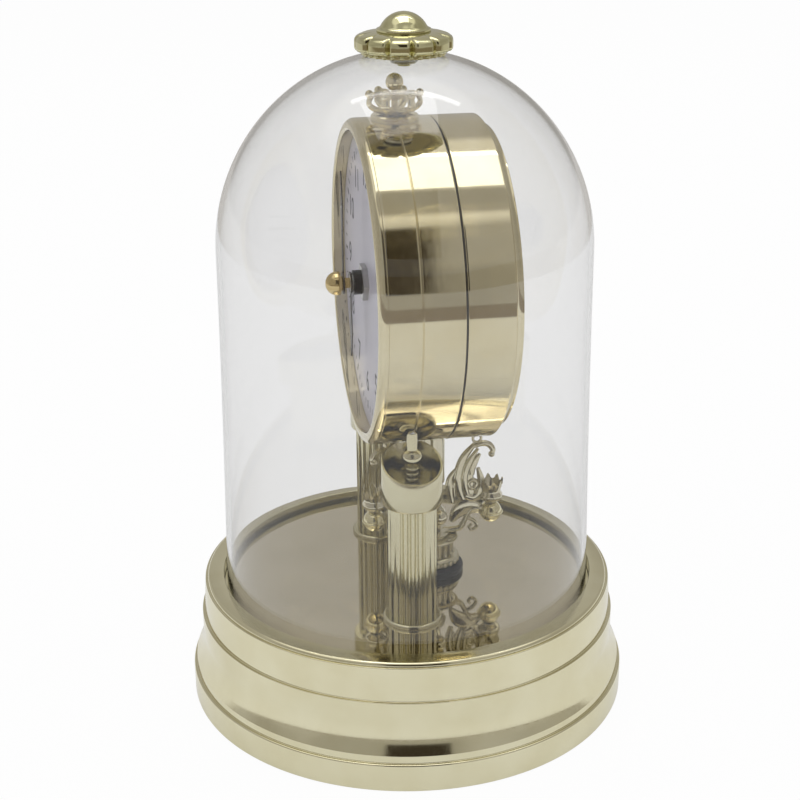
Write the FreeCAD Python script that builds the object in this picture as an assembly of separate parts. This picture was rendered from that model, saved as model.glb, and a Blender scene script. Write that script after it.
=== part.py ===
import FreeCAD
import Part
import math
import os

# A table clock with a turning pendulum under a clear dome. Lengths are in millimetres.
# +Z is up, the dial faces -Y, and the origin is the middle of the surface the clock stands on.

# Driving dimensions of the whole clock
DRUM_RADIUS = 52.8
DRUM_CENTRE_Z = 146.0
DRUM_FRONT_Y = -17.2
DRUM_REAR_Y = 25.5
COLUMN_X = 33.4
COLUMN_Y = -4.2
PENDULUM_Y = 9.4
RIM_Z = 43.2
DOME_WALL = 1.5
DOME_CLEARANCE = 2.36
DOME_HEADROOM = 21.2
BASE_MARGIN = 12.5

# Clearances that several pieces share
SEAT_GAP = 0.1
SLIP_GAP = 0.05
HOLE_GAP = 0.1
TURNING_GAP = 0.4
OVERRUN = 2.0
TINY = 1e-6

# Bows as shares: of a quarter circle's radius, and of a softly rounded edge's size
QUARTER_BOW_SHARE = 1 - math.sqrt(0.5)
SOFT_BOW_SHARE = 0.25

# Base shell, outside: radii count inwards from the base's edge
PAD_PROUD = 0.6
BASE_EDGE_ROUND = 0.8
FLANGE_TOP_Z = 9.2
FLANGE_BEAD = 1.2
COVE_INSET = 2.0
COVE_BOW = 0.5
LOWER_BAND_Z = 17.2
LOWER_BAND_INSET = 1.1
LOWER_BAND_BOW = 0.9
STEP_Z = 29.5
STEP_INSET = 5.0
STEP_LEDGE = 0.6
UPPER_BAND_DROP = 1.8
UPPER_BAND_INSET = 6.9
UPPER_BAND_BOW = 0.25
RIM_QUIRK = 0.5
RIM_BOW = 0.9
RIM_EDGE_DROP = 0.3

# Base shell, inside: groove for the dome, floor seat and underside
GROOVE_OUTER_GAP = 1.0
GROOVE_INNER_GAP = 0.6
GROOVE_DEPTH = 4.6
LIP_WIDTH = 1.2
LIP_DROP = 0.3
LIP_BOW = 0.4
FLOOR_DROP = 3.1
FLOOR_THICKNESS = 1.2
SHELL_WALL = 2.0
PLATE_THICKNESS = 1.5
PLATE_DEPTH = 0.8
PLATE_LEDGE = 2.0
PLATE_BORDER = 2.0
BOSS_RADIUS = 3.4
BOSS_FROM_EDGE = 20.0
SCREW_COUNT = 4
SCREW_RADIUS = 1.1
SCREW_LENGTH = 9.0
SCREW_HEAD_RADIUS = 2.6
SCREW_HEAD_HEIGHT = 0.8
PAD_RADIUS = 6.0
PAD_FROM_EDGE = 12.0
PAD_START_ANGLE = 90.0

# Columns
ROD_RADIUS = 1.5
NUT_RADIUS = 3.4
NUT_HEIGHT = 2.4
ROD_END = 1.2
FOOT_RING_RADIUS = 9.6
FOOT_RING_HEIGHT = 1.4
SHAFT_RADIUS = 7.9
FLUTE_COUNT = 20
FLUTE_DEPTH = 0.7
FLUTE_WIDTH_SHARE = 0.62
CAPITAL_RADIUS = 9.8
CAPITAL_HEIGHT = 9.1
CAPITAL_WALL = 1.1
CAPITAL_BELOW_DRUM = 2.4
CAPITAL_FLOOR = 3.8
CAPITAL_RISE_SPARE = 1.2
CAPITAL_EDGE = 0.6
SPINDLE_FOOT_RADIUS = 3.4
SPINDLE_FOOT_HEIGHT = 1.0
SPINDLE_RING_RADIUS = 2.4
SPINDLE_NECK_RADIUS = 1.8
SPINDLE_RING_COUNT = 4
SPINDLE_RING_PITCH = 1.8
SPINDLE_GAP = 0.9
SPINDLE_BALL_RADIUS = 3.3
SPINDLE_TOP_RADIUS = 2.2
ROD_BOSS_RADIUS = 4.0
ROD_BOSS_SPARE = 0.4

# Drum
DRUM_WALL = 1.5
BEZEL_DEPTH = 2.8
BEZEL_INNER_INSET = 4.0
BEZEL_CREST_INSET = 2.4
BEZEL_LIP_DROP = 0.5
BEZEL_BOW = 0.7
LIP_CREST_BOW = 0.25
DIAL_RECESS = 4.4
DIAL_THICKNESS = 1.0
DIAL_LEDGE_DEPTH = 1.5
DIAL_LEDGE_WIDTH = 3.8
BODY_LINE_FROM_FRONT = 13.1
BODY_LINE_WIDTH = 0.5
BODY_LINE_DEPTH = 0.3
BAND_FROM_REAR = 16.5
BAND_WIDTH = 1.0
BAND_DEPTH = 0.5
SPIGOT_LENGTH = 3.0
SPIGOT_WALL = 1.2
REAR_ROUND = 3.0
REAR_OPENING_RADIUS = 37.0
REAR_LIP = 1.5
PENDULUM_HOLE_RADIUS = 2.2

# Movement
MOVEMENT_UP = 28.0
MOVEMENT_DOWN = 28.0
MOVEMENT_CORNER = 3.0
MOVEMENT_WALL = 1.2
CASE_DEPTH = 8.8
COVER_DEPTH = 8.2
BUSHING_RADIUS = 4.0
BUSHING_REACH = 4.4
BUSHING_NUT_RADIUS = 6.2
BUSHING_NUT_HEIGHT = 1.8
HOUR_PIPE_RADIUS = 2.5
MINUTE_ARBOR_RADIUS = 1.7
PIVOT_RADIUS = 0.8
PIVOT_LENGTH = 1.0
BEARING_BOSS_RADIUS = 2.4
BATTERY_RADIUS = 7.0
BATTERY_LENGTH = 49.0
BATTERY_TIP_RADIUS = 2.6
BATTERY_TIP = 1.0
BATTERY_PLAY = 0.3
BATTERY_SPRING = 1.8
CONTACT_THICKNESS = 0.5
CONTACT_HALF_HEIGHT = 5.0
BAY_WALL = 1.0
BOARD_THICKNESS = 1.0
BOARD_SIDE_MARGIN = 4.8
BOARD_TOP_MARGIN = 1.8
BOARD_HEIGHT = 11.0
BOARD_POST_RADIUS = 1.6
BOARD_POST_INSET = 5.0
CHIP_RADIUS = 3.2
CHIP_HEIGHT = 1.2
COIL_RADIUS = 3.0
COIL_HALF_LENGTH = 11.0
COIL_CHEEK_RADIUS = 3.6
COIL_CHEEK = 1.0

# Motion work: wheels between the two hands
SET_ANGLE = 30.0
SET_DISTANCE = 9.0
CANNON_TEETH = 12
MINUTE_WHEEL_TEETH = 36
MINUTE_PINION_TEETH = 10
HOUR_WHEEL_TEETH = 40
TOOTH_TIP_SHARE = 0.24
TOOTH_PITCH_SHARE = 0.40
TOOTH_ROOT_SHARE = 0.56
ADDENDUM_SHARE = 0.8
DEDENDUM_SHARE = 1.15
HOUR_WHEEL_WIDTH = 1.2
CANNON_WIDTH = 2.4
WHEEL_GAP = 0.4
PINION_OVERLAP = 0.6
KNOB_RADIUS = 5.5
KNOB_LENGTH = 4.0
KNOB_STANDOFF = 0.5
KNOB_LOBES = 24
KNOB_NOTCH = 0.4
KNOB_NOTCH_SHARE = 0.5
SET_SHAFT_RADIUS = 1.3

# Hands
HAND_THICKNESS = 0.5
HOUR_HAND_LENGTH = 25.0
MINUTE_HAND_LENGTH = 37.0
HAND_HUB_RADIUS = 3.6
HAND_TAIL_HALF = 0.7
HAND_BELLY_HALF = 2.1
HAND_TIP_HALF = 0.25
HAND_BELLY_SHARE = 0.6
HOUR_HAND_FROM_FRONT = 0.6
HAND_SPACING = 2.4
HAND_NUT_RADIUS = 4.9
HAND_NUT_LENGTH = 5.6
HAND_NUT_RIM = 1.2
HAND_NUT_BORE_DEPTH = 2.6
ARBOR_PAST_HAND = 2.2

# Pendulum drive in the drum's belly
DRIVE_HALF_WIDTH = 13.0
DRIVE_HALF_DEPTH = 7.4
DRIVE_HEIGHT = 12.4
DRIVE_FLOOR = 4.2
DRIVE_WALL = 1.2
DRIVE_COVER = 1.4
DRIVE_SHAFT_RADIUS = 1.2
MAGNET_RADIUS = 4.2
MAGNET_HEIGHT = 3.6
MAGNET_RAISE = 0.8
DRIVE_COIL_RADIUS = 2.4
DRIVE_COIL_HALF_LENGTH = 5.0
DRIVE_COIL_X = 8.6

# Pendulum, heights above the mirror floor
BALL_RADIUS = 3.9
BALL_RING_SHARE = 0.11
PENDULUM_CLEARANCE = 1.86
BALL_HEIGHT = 20.9
CUP_RADIUS = 10.5
CUP_HEIGHT = 2.6
CUP_WELL_RADIUS = 6.2
CUP_WELL_FLOOR = 0.9
CUP_EDGE = 0.65
SPIGOT_RADIUS = 3.6
SPIGOT_DROP = 1.1
BEAD_RING_HEIGHT = 2.6
BEAD_RING_RADIUS = 9.3
BEAD_COUNT = 18
BEAD_NOTCH = 0.7
BEAD_NOTCH_SHARE = 0.42
LANTERN_RADIUS = 8.9
LANTERN_WAIST_RADIUS = 7.4
LANTERN_HEIGHT = 7.4
LANTERN_RIBS = 14
LANTERN_RIB_DEPTH = 0.9
LANTERN_PLATE = 1.2
LANTERN_NOTCH_SHARE = 0.5
STEM_RADIUS = 2.3
STEM_VASE_RADIUS = 4.6
STEM_VASE_RISE = 4.4
STEM_VASE_HEIGHT = 8.8
STEM_RING_RADIUS = 3.1
SLEEVE_RADIUS = 4.0
STEM_NECK = 8.7
SHAFT_IN_SLEEVE = 9.0
SLEEVE_ROUND = 1.0
DRUM_TO_SLEEVE = 0.9
ARM_HALF_WIDTH = 1.0
ARM_HALF_THICKNESS = 1.2
ARM_OUT_SHARES = (0.46, 0.56, 0.66, 0.82, 1)
ARM_RISE_SHARES = (0.22, 0.62, 1.06, 1.1, 1)
ARM_WIDTH_SHARES = (1.2, 1, 0.9, 1, 1.1, 0.8)
SIDE_ARM_REACH = 10.5
SIDE_ARM_HEIGHT = 24.4
SIDE_BALL_RADIUS = 2.8
SIDE_ARM_OUT_SHARES = (0.75, 0.8, 1)
SIDE_ARM_RISE_SHARES = (0.3, 0.62, 1)
SIDE_ARM_WIDTH_SHARES = (1.1, 0.9, 0.8, 0.7)
HUB_RADIUS = 5.2
HUB_HEIGHT = 2.2
CROWN_NECK_RADIUS = 1.3
CROWN_CUP_RADIUS = 2.9
CROWN_HEIGHT = 7.4
CROWN_WALL = 0.7
CROWN_CUP_DEPTH = 2.6
CROWN_FOOT_SHARE = 0.7
CROWN_NECK_SHARE = 0.25
LEAF_HALF_THICKNESS = 0.9
LEAF_RING_RADIUS = 1.9
LEAF_RING_BORE = 0.95
LEAF_RING_ROOM = 5.7
LEAF_RING_RAISE = 1.7
LEAF_RING_OUT_SHARE = 0.74
LEAF_OUT_SHARES = (0.64, 0.5, 0.5, 0.62, 0.72)
LEAF_RISE_SHARES = (0, 0.26, 0.5, 0.78, 1)
LEAF_WIDTH_SHARES = (0.55, 1.2, 1.5, 0.8, 0.4)
CURL_HALF_THICKNESS = 0.8
CURL_OUT_SHARES = (0.62, 0.76, 0.9, 0.95)
CURL_RISE_SHARES = (0.78, 0.93, 0.92, 0.76)
CURL_WIDTH_SHARES = (0.4, 0.42, 0.42, 0.3)

# Crest on top of the drum
CREST_Y = -3.0
CREST_HEIGHT = 14.2
PLINTH_RADIUS = 7.6
PLINTH_RISE = 1.6
PLINTH_EDGE = 0.5
CROWN_REACH = 8.8
CROWN_SCROLLS = 6
SCROLL_HALF_WIDTH = 0.55
SCROLL_HALF_THICKNESS = 0.7
SCROLL_OUT_SHARES = (0.16, 0.62, 0.92, 0.78, 0.42, 0.11)
SCROLL_RISE_SHARES = (0.06, 0.1, 0.26, 0.47, 0.5, 0.38)
SCROLL_WIDTH_SHARES = (1.2, 1.2, 1, 1, 0.9, 0.8)
CROWN_HUB_HEIGHT = 1.5
SPIRE_RADIUS = 1.1
SPIRE_COLLAR_RADIUS = 2.0
SPIRE_COLLAR_BOW = 0.14
SPIRE_BEAD_RADIUS = 2.8

# Finial on top of the dome
FINIAL_STUD_RADIUS = 2.0
FINIAL_NUT_RADIUS = 4.4
FINIAL_NUT_HEIGHT = 2.6
FINIAL_NUT_EDGE = 0.65
STUD_PAST_NUT = 0.8
COLLAR_RADIUS = 12.4
DISC_GAP = 0.2
DISC_RADIUS = 15.5
DISC_HEIGHT = 5.8
DISC_LOBES = 12
DISC_NOTCH = 1.9
DISC_NOTCH_SHARE = 0.3
DISC_EDGE = 0.7
DISC_CROWN_DROP = 2.2
HUB_STEP_RADIUS = 8.3
HUB_STEP_HEIGHT = 2.5
BUTTON_RADIUS = 6.1
BUTTON_NECK = 0.4
BUTTON_CAP_HEIGHT = 3.1
HUB_STEP_ROUND = 0.8

# Radii and heights that follow from the values above
DRUM_TOP_Z = DRUM_CENTRE_Z + DRUM_RADIUS
DRUM_BOTTOM_Z = DRUM_CENTRE_Z - DRUM_RADIUS
DOME_INNER_RADIUS = math.hypot(DRUM_RADIUS, DRUM_REAR_Y) + DOME_CLEARANCE
DOME_RADIUS = DOME_INNER_RADIUS + DOME_WALL
DOME_TOP_Z = DRUM_TOP_Z + DOME_HEADROOM
DOME_SPRING_Z = DOME_TOP_Z - DOME_RADIUS
BASE_RADIUS = DOME_RADIUS + BASE_MARGIN
BOSS_ORBIT = BASE_RADIUS - BOSS_FROM_EDGE
PAD_ORBIT = BASE_RADIUS - PAD_FROM_EDGE
GROOVE_Z = RIM_Z - GROOVE_DEPTH
DECK_Z = GROOVE_Z - SHELL_WALL
FLOOR_Z = RIM_Z - FLOOR_DROP
FLOOR_RADIUS = DOME_INNER_RADIUS - GROOVE_INNER_GAP - LIP_WIDTH
PLATE_Z = PAD_PROUD + PLATE_DEPTH
PLATE_TOP_Z = PLATE_Z + PLATE_THICKNESS
CAPITAL_FRONT_Z = DRUM_BOTTOM_Z - CAPITAL_BELOW_DRUM
CAPITAL_Z = CAPITAL_FRONT_Z - CAPITAL_HEIGHT
BEZEL_REAR_Y = DRUM_FRONT_Y + BEZEL_DEPTH
DIAL_Y = DRUM_FRONT_Y + DIAL_RECESS
DIAL_REAR_Y = DIAL_Y + DIAL_THICKNESS
DRUM_INNER_RADIUS = DRUM_RADIUS - DRUM_WALL
BAND_Y = DRUM_REAR_Y - BAND_FROM_REAR - BAND_WIDTH
SHELL_Y = BAND_Y + BAND_WIDTH
COVER_Y = DIAL_REAR_Y + CASE_DEPTH
MOVEMENT_REAR_Y = COVER_Y + COVER_DEPTH
CASE_INNER_Y = DIAL_REAR_Y + MOVEMENT_WALL
COVER_INNER_Y = MOVEMENT_REAR_Y - MOVEMENT_WALL
MOVEMENT_HALF_WIDTH = BATTERY_LENGTH / 2 + BATTERY_SPRING + CONTACT_THICKNESS + MOVEMENT_WALL
BOARD_HALF_WIDTH = MOVEMENT_HALF_WIDTH - MOVEMENT_WALL - BOARD_SIDE_MARGIN
BOARD_POST_X = BOARD_HALF_WIDTH - BOARD_POST_INSET
BOARD_BOTTOM_RISE = MOVEMENT_UP - MOVEMENT_WALL - BOARD_TOP_MARGIN - BOARD_HEIGHT
BATTERY_Y = COVER_INNER_Y - BATTERY_PLAY - BATTERY_RADIUS
BATTERY_Z = DRUM_CENTRE_Z - MOVEMENT_DOWN + MOVEMENT_WALL + BATTERY_PLAY + BATTERY_RADIUS
BAY_TOP_Z = BATTERY_Z + BATTERY_RADIUS + BATTERY_PLAY
SET_X = SET_DISTANCE * math.cos(math.radians(SET_ANGLE))
SET_Z = DRUM_CENTRE_Z + SET_DISTANCE * math.sin(math.radians(SET_ANGLE))
HOUR_WHEEL_Y = CASE_INNER_Y + WHEEL_GAP
CANNON_Y = HOUR_WHEEL_Y + HOUR_WHEEL_WIDTH + WHEEL_GAP
HOUR_HAND_Y = DRUM_FRONT_Y - HOUR_HAND_FROM_FRONT
MINUTE_HAND_Y = HOUR_HAND_Y - HAND_SPACING
HAND_NUT_Y = MINUTE_HAND_Y - HAND_THICKNESS
BELLY_Z = DRUM_CENTRE_Z - DRUM_INNER_RADIUS
DRIVE_Z = BELLY_Z + DRIVE_FLOOR
DRIVE_TOP_Z = BELLY_Z + DRIVE_HEIGHT
BALL_Z = FLOOR_Z + BALL_HEIGHT
COLUMN_FROM_PENDULUM = math.hypot(COLUMN_X, PENDULUM_Y - COLUMN_Y)
BALL_ORBIT = COLUMN_FROM_PENDULUM - CAPITAL_RADIUS - BALL_RADIUS - PENDULUM_CLEARANCE
BEAD_RING_Z = FLOOR_Z + CUP_HEIGHT + TURNING_GAP
LANTERN_Z = BEAD_RING_Z + BEAD_RING_HEIGHT
HUB_Z = LANTERN_Z + LANTERN_HEIGHT
SLEEVE_TOP_Z = DRUM_BOTTOM_Z - DRUM_TO_SLEEVE
SLEEVE_Z = HUB_Z + HUB_HEIGHT + STEM_VASE_HEIGHT + STEM_NECK
SHAFT_END_Z = SLEEVE_TOP_Z - SHAFT_IN_SLEEVE
PLINTH_Z = DRUM_TOP_Z + PLINTH_RISE
CREST_TOP_Z = DRUM_TOP_Z + CREST_HEIGHT
DISC_Z = DOME_TOP_Z + DISC_GAP
HUB_STEP_Z = DISC_Z + DISC_HEIGHT
BUTTON_Z = HUB_STEP_Z + HUB_STEP_HEIGHT
NUT_TOP_Z = DOME_TOP_Z - DOME_WALL - SEAT_GAP

ORIGIN = FreeCAD.Vector(0, 0, 0)
X_AXIS = FreeCAD.Vector(1, 0, 0)
Y_AXIS = FreeCAD.Vector(0, 1, 0)
Z_AXIS = FreeCAD.Vector(0, 0, 1)
FULL_TURN = 360.0
HEXAGON_SIDES = 6


# Outlines and simple solids

def outline_edges(steps, origin, across, up):
    """Closed outline. A step is (a, b) for a line there, or (a, b, bow) for an arc that bulges
    by bow to the right of the way it runs."""
    here = steps[0]
    edges = []
    for step in list(steps[1:]) + [steps[0][:2]]:
        start = origin + across * here[0] + up * here[1]
        end = origin + across * step[0] + up * step[1]
        run = (end - start).Length
        if run > TINY and len(step) == 3:
            middle_a = (here[0] + step[0]) / 2 + (step[1] - here[1]) / run * step[2]
            middle_b = (here[1] + step[1]) / 2 - (step[0] - here[0]) / run * step[2]
            middle = origin + across * middle_a + up * middle_b
            edges.append(Part.Arc(start, middle, end).toShape())
        elif run > TINY:
            edges.append(Part.makeLine(start, end))
        here = step
    return edges


def sphere_bow(radius, chord):
    """Bow of an arc on a ball, for arcs shorter than half a turn."""
    return radius - math.sqrt(radius ** 2 - (chord / 2) ** 2)


def cap_bow(base_radius, height):
    """Bow of a round cap's arc from its edge up to its middle."""
    radius = (base_radius ** 2 + height ** 2) / (2 * height)
    return sphere_bow(radius, math.hypot(base_radius, height))


def outline_face(steps, origin=ORIGIN, across=X_AXIS, up=Z_AXIS):
    return Part.Face(Part.Wire(outline_edges(steps, origin, across, up)))


def solid_of(shape):
    """One clean solid, right side out."""
    if shape.ShapeType == "Compound" and len(shape.Solids) == 1:
        shape = shape.Solids[0]
    if shape.Volume < 0:
        shape.reverse()
    return shape


def turned(steps, x=0, y=0):
    """Solid turned about a vertical line at x, y from an outline of (radius, z)."""
    centre = FreeCAD.Vector(x, y, 0)
    face = outline_face(steps, centre, X_AXIS, Z_AXIS)
    return solid_of(face.revolve(centre, Z_AXIS, FULL_TURN))


def turned_across(steps, x=0, z=DRUM_CENTRE_Z):
    """Solid turned about a line along Y at x, z from an outline of (radius, y)."""
    centre = FreeCAD.Vector(x, 0, z)
    face = outline_face(steps, centre, X_AXIS, Y_AXIS)
    return solid_of(face.revolve(centre, Y_AXIS, FULL_TURN))


def post(radius, low, high, x=0, y=0):
    """Vertical cylinder between two heights."""
    return Part.makeCylinder(radius, high - low, FreeCAD.Vector(x, y, low), Z_AXIS)


def rod_across(radius, low, high, x=0, z=DRUM_CENTRE_Z):
    """Cylinder along Y between two depths."""
    return Part.makeCylinder(radius, high - low, FreeCAD.Vector(x, low, z), Y_AXIS)


def block(low, high):
    size = [high[i] - low[i] for i in range(3)]
    return Part.makeBox(size[0], size[1], size[2], FreeCAD.Vector(*low))


def around(orbit, count, start=0.0, x=0, y=0):
    """Points spread evenly on a circle."""
    places = []
    for index in range(count):
        angle = math.radians(start + FULL_TURN * index / count)
        places.append((x + orbit * math.cos(angle), y + orbit * math.sin(angle)))
    return places


def joined(shapes):
    whole = shapes[0].multiFuse(shapes[1:])
    return solid_of(whole.removeSplitter())


def hexagon(radius, origin, across, up):
    return outline_face(around(radius, HEXAGON_SIDES), origin, across, up)


def notched_face(radius, count, notch_share, depth, origin, across, up):
    """Round face whose edge has evenly spread hollows, with crests between them."""
    pitch = 2 * math.pi / count
    half = pitch * notch_share / 2
    edges = []

    def at(angle, distance):
        return origin + across * (distance * math.cos(angle)) + up * (distance * math.sin(angle))

    for index in range(count):
        middle = index * pitch
        ahead = at(middle + half, radius)
        hollow = Part.Arc(at(middle - half, radius), at(middle, radius - depth), ahead)
        crest = Part.Arc(ahead, at(middle + pitch / 2, radius), at(middle + pitch - half, radius))
        edges += [hollow.toShape(), crest.toShape()]
    return Part.Face(Part.Wire(edges))


def ribbon_face(line, half_widths, origin, across, up):
    """Flat strip along a smooth line of (a, b) points, with a half width at each point."""
    left = []
    right = []
    last = len(line) - 1
    for index, (a, b) in enumerate(line):
        before = line[max(index - 1, 0)]
        after = line[min(index + 1, last)]
        run = math.hypot(after[0] - before[0], after[1] - before[1])
        side_a = -(after[1] - before[1]) / run * half_widths[index]
        side_b = (after[0] - before[0]) / run * half_widths[index]
        left.append(origin + across * (a + side_a) + up * (b + side_b))
        right.append(origin + across * (a - side_a) + up * (b - side_b))
    upper = Part.BSplineCurve()
    upper.interpolate(left)
    lower = Part.BSplineCurve()
    lower.interpolate(right)
    ends = [Part.makeLine(left[0], right[0]), Part.makeLine(left[-1], right[-1])]
    edges = Part.__sortEdges__([upper.toShape(), lower.toShape()] + ends)
    return Part.Face(Part.Wire(edges))


def slab(face, normal, half_thickness):
    """Flat face thickened by the same amount to both sides."""
    moved = face.copy()
    moved.translate(normal * -half_thickness)
    return solid_of(moved.extrude(normal * (2 * half_thickness)))


# Base

def screw_places():
    return around(BOSS_ORBIT, SCREW_COUNT, FULL_TURN / SCREW_COUNT / 2)


def rod_places():
    return [(COLUMN_X, COLUMN_Y), (-COLUMN_X, COLUMN_Y)]


def base_shell():
    edge = BASE_EDGE_ROUND
    bead_bow = FLANGE_BEAD * QUARTER_BOW_SHARE
    groove_outer = DOME_RADIUS + GROOVE_OUTER_GAP
    groove_inner = DOME_INNER_RADIUS - GROOVE_INNER_GAP
    ledge_radius = BASE_RADIUS - STEP_INSET - STEP_LEDGE
    band_top_radius = BASE_RADIUS - UPPER_BAND_INSET
    plate_radius = BASE_RADIUS - PLATE_BORDER
    inner_radius = plate_radius - PLATE_LEDGE
    outside = [
        (BASE_RADIUS - edge, PAD_PROUD),
        (BASE_RADIUS, PAD_PROUD + edge, edge * QUARTER_BOW_SHARE),
        (BASE_RADIUS, FLANGE_TOP_Z - FLANGE_BEAD),
        (BASE_RADIUS - FLANGE_BEAD, FLANGE_TOP_Z, bead_bow),
        (BASE_RADIUS - COVE_INSET, FLANGE_TOP_Z),
        (BASE_RADIUS - LOWER_BAND_INSET, LOWER_BAND_Z, -COVE_BOW),
        (BASE_RADIUS - STEP_INSET, STEP_Z, LOWER_BAND_BOW),
        (ledge_radius, STEP_Z),
        (band_top_radius, RIM_Z - UPPER_BAND_DROP, UPPER_BAND_BOW),
        (band_top_radius - RIM_QUIRK, RIM_Z - UPPER_BAND_DROP),
        (groove_outer, RIM_Z - RIM_EDGE_DROP, RIM_BOW),
    ]
    inside = [
        (groove_outer, GROOVE_Z),
        (groove_inner, GROOVE_Z),
        (groove_inner, RIM_Z - LIP_DROP - LIP_BOW),
        (FLOOR_RADIUS, RIM_Z - LIP_DROP - LIP_BOW, LIP_BOW),
        (FLOOR_RADIUS, FLOOR_Z - FLOOR_THICKNESS),
        (0, FLOOR_Z - FLOOR_THICKNESS),
        (0, DECK_Z),
        (band_top_radius - SHELL_WALL, DECK_Z),
        (ledge_radius - SHELL_WALL, STEP_Z - SHELL_WALL),
        (inner_radius, LOWER_BAND_Z),
        (inner_radius, PLATE_TOP_Z),
        (plate_radius, PLATE_TOP_Z),
        (plate_radius, PAD_PROUD),
    ]
    bosses = [post(BOSS_RADIUS, PLATE_TOP_Z, DECK_Z + SHELL_WALL / 2, x, y) for x, y in screw_places()]
    shell = joined([turned(outside + inside)] + bosses)
    pilots = [post(SCREW_RADIUS + SLIP_GAP, PLATE_TOP_Z - OVERRUN, PLATE_TOP_Z + SCREW_LENGTH, x, y)
              for x, y in screw_places()]
    rods = [post(ROD_RADIUS + HOLE_GAP, DECK_Z - OVERRUN, FLOOR_Z, x, y) for x, y in rod_places()]
    return solid_of(shell.cut(pilots + rods))


def base_plate():
    radius = BASE_RADIUS - PLATE_BORDER - HOLE_GAP
    plate = post(radius, PLATE_Z, PLATE_TOP_Z)
    holes = [post(SCREW_RADIUS + HOLE_GAP, PLATE_Z - OVERRUN, PLATE_TOP_Z + OVERRUN, x, y)
             for x, y in screw_places()]
    return solid_of(plate.cut(holes))


def base_screws():
    screws = []
    for x, y in screw_places():
        screws.append(turned([
            (0, PLATE_Z - SCREW_HEAD_HEIGHT),
            (SCREW_HEAD_RADIUS - SCREW_HEAD_HEIGHT / 2, PLATE_Z - SCREW_HEAD_HEIGHT),
            (SCREW_HEAD_RADIUS, PLATE_Z - SCREW_HEAD_HEIGHT / 2),
            (SCREW_HEAD_RADIUS, PLATE_Z),
            (SCREW_RADIUS, PLATE_Z),
            (SCREW_RADIUS, PLATE_TOP_Z + SCREW_LENGTH - SCREW_RADIUS),
            (0, PLATE_TOP_Z + SCREW_LENGTH - SLIP_GAP),
        ], x, y))
    return Part.makeCompound(screws)


def base_pads():
    places = around(PAD_ORBIT, SCREW_COUNT, PAD_START_ANGLE)
    edge = PAD_PROUD / 2
    profile = [(0, 0), (PAD_RADIUS - edge, 0), (PAD_RADIUS, edge), (PAD_RADIUS, PLATE_Z), (0, PLATE_Z)]
    return Part.makeCompound([turned(profile, x, y) for x, y in places])


def floor_plate():
    plate = post(FLOOR_RADIUS - HOLE_GAP, FLOOR_Z - FLOOR_THICKNESS, FLOOR_Z)
    holes = [post(ROD_RADIUS + HOLE_GAP, FLOOR_Z - FLOOR_THICKNESS - OVERRUN, FLOOR_Z + OVERRUN, x, y)
             for x, y in rod_places()]
    return solid_of(plate.cut(holes))


# Columns, made at +X and mirrored for the other side

def rod_bore(low, high, gap=HOLE_GAP):
    return post(ROD_RADIUS + gap, low, high, COLUMN_X, COLUMN_Y)


def drum_space():
    """The drum's outside with its seat gap, to trim what carries the drum."""
    return rod_across(DRUM_RADIUS + SEAT_GAP, DRUM_FRONT_Y - OVERRUN, DRUM_REAR_Y + OVERRUN)


def drum_under(x):
    """Height of the drum's underside at a place across it."""
    return DRUM_CENTRE_Z - math.sqrt((DRUM_RADIUS + SEAT_GAP) ** 2 - x ** 2)


def foot_ring():
    edge = FOOT_RING_HEIGHT / 2
    bore = ROD_RADIUS + HOLE_GAP
    top_radius = SHAFT_RADIUS + FLUTE_DEPTH
    return turned([
        (bore, FLOOR_Z),
        (FOOT_RING_RADIUS, FLOOR_Z),
        (FOOT_RING_RADIUS, FLOOR_Z + edge),
        (top_radius, FLOOR_Z + FOOT_RING_HEIGHT, edge / 2),
        (bore, FLOOR_Z + FOOT_RING_HEIGHT),
    ], COLUMN_X, COLUMN_Y)


def column_shaft():
    low = FLOOR_Z + FOOT_RING_HEIGHT
    centre = FreeCAD.Vector(COLUMN_X, COLUMN_Y, low)
    face = notched_face(SHAFT_RADIUS, FLUTE_COUNT, FLUTE_WIDTH_SHARE, FLUTE_DEPTH, centre, X_AXIS, Y_AXIS)
    shaft = solid_of(face.extrude(Z_AXIS * (CAPITAL_Z - low)))
    return solid_of(shaft.cut(rod_bore(low - OVERRUN, CAPITAL_Z + OVERRUN)))


def capital():
    inner = CAPITAL_RADIUS - CAPITAL_WALL
    near_x = COLUMN_X + CAPITAL_RADIUS
    far_x = COLUMN_X - CAPITAL_RADIUS
    far_z = drum_under(far_x) + CAPITAL_RISE_SPARE
    top = max(far_z, CAPITAL_FRONT_Z) + OVERRUN
    body = turned([
        (0, CAPITAL_Z),
        (CAPITAL_RADIUS - CAPITAL_EDGE, CAPITAL_Z),
        (CAPITAL_RADIUS, CAPITAL_Z + CAPITAL_EDGE),
        (CAPITAL_RADIUS, top),
        (inner, top),
        (inner, CAPITAL_Z + CAPITAL_FLOOR),
        (0, CAPITAL_Z + CAPITAL_FLOOR),
    ], COLUMN_X, COLUMN_Y)
    slope = (far_z - CAPITAL_FRONT_Z) / (near_x - far_x)
    above = outline_face([
        (near_x + OVERRUN, CAPITAL_FRONT_Z - slope * OVERRUN),
        (near_x + OVERRUN, top + OVERRUN),
        (far_x - OVERRUN, top + OVERRUN),
        (far_x - OVERRUN, far_z + slope * OVERRUN),
    ], Y_AXIS * COLUMN_Y, X_AXIS, Z_AXIS)
    slanted = slab(above, Y_AXIS, CAPITAL_RADIUS + OVERRUN)
    return solid_of(body.cut([slanted, drum_space(), rod_bore(CAPITAL_Z - OVERRUN, top)]))


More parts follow.
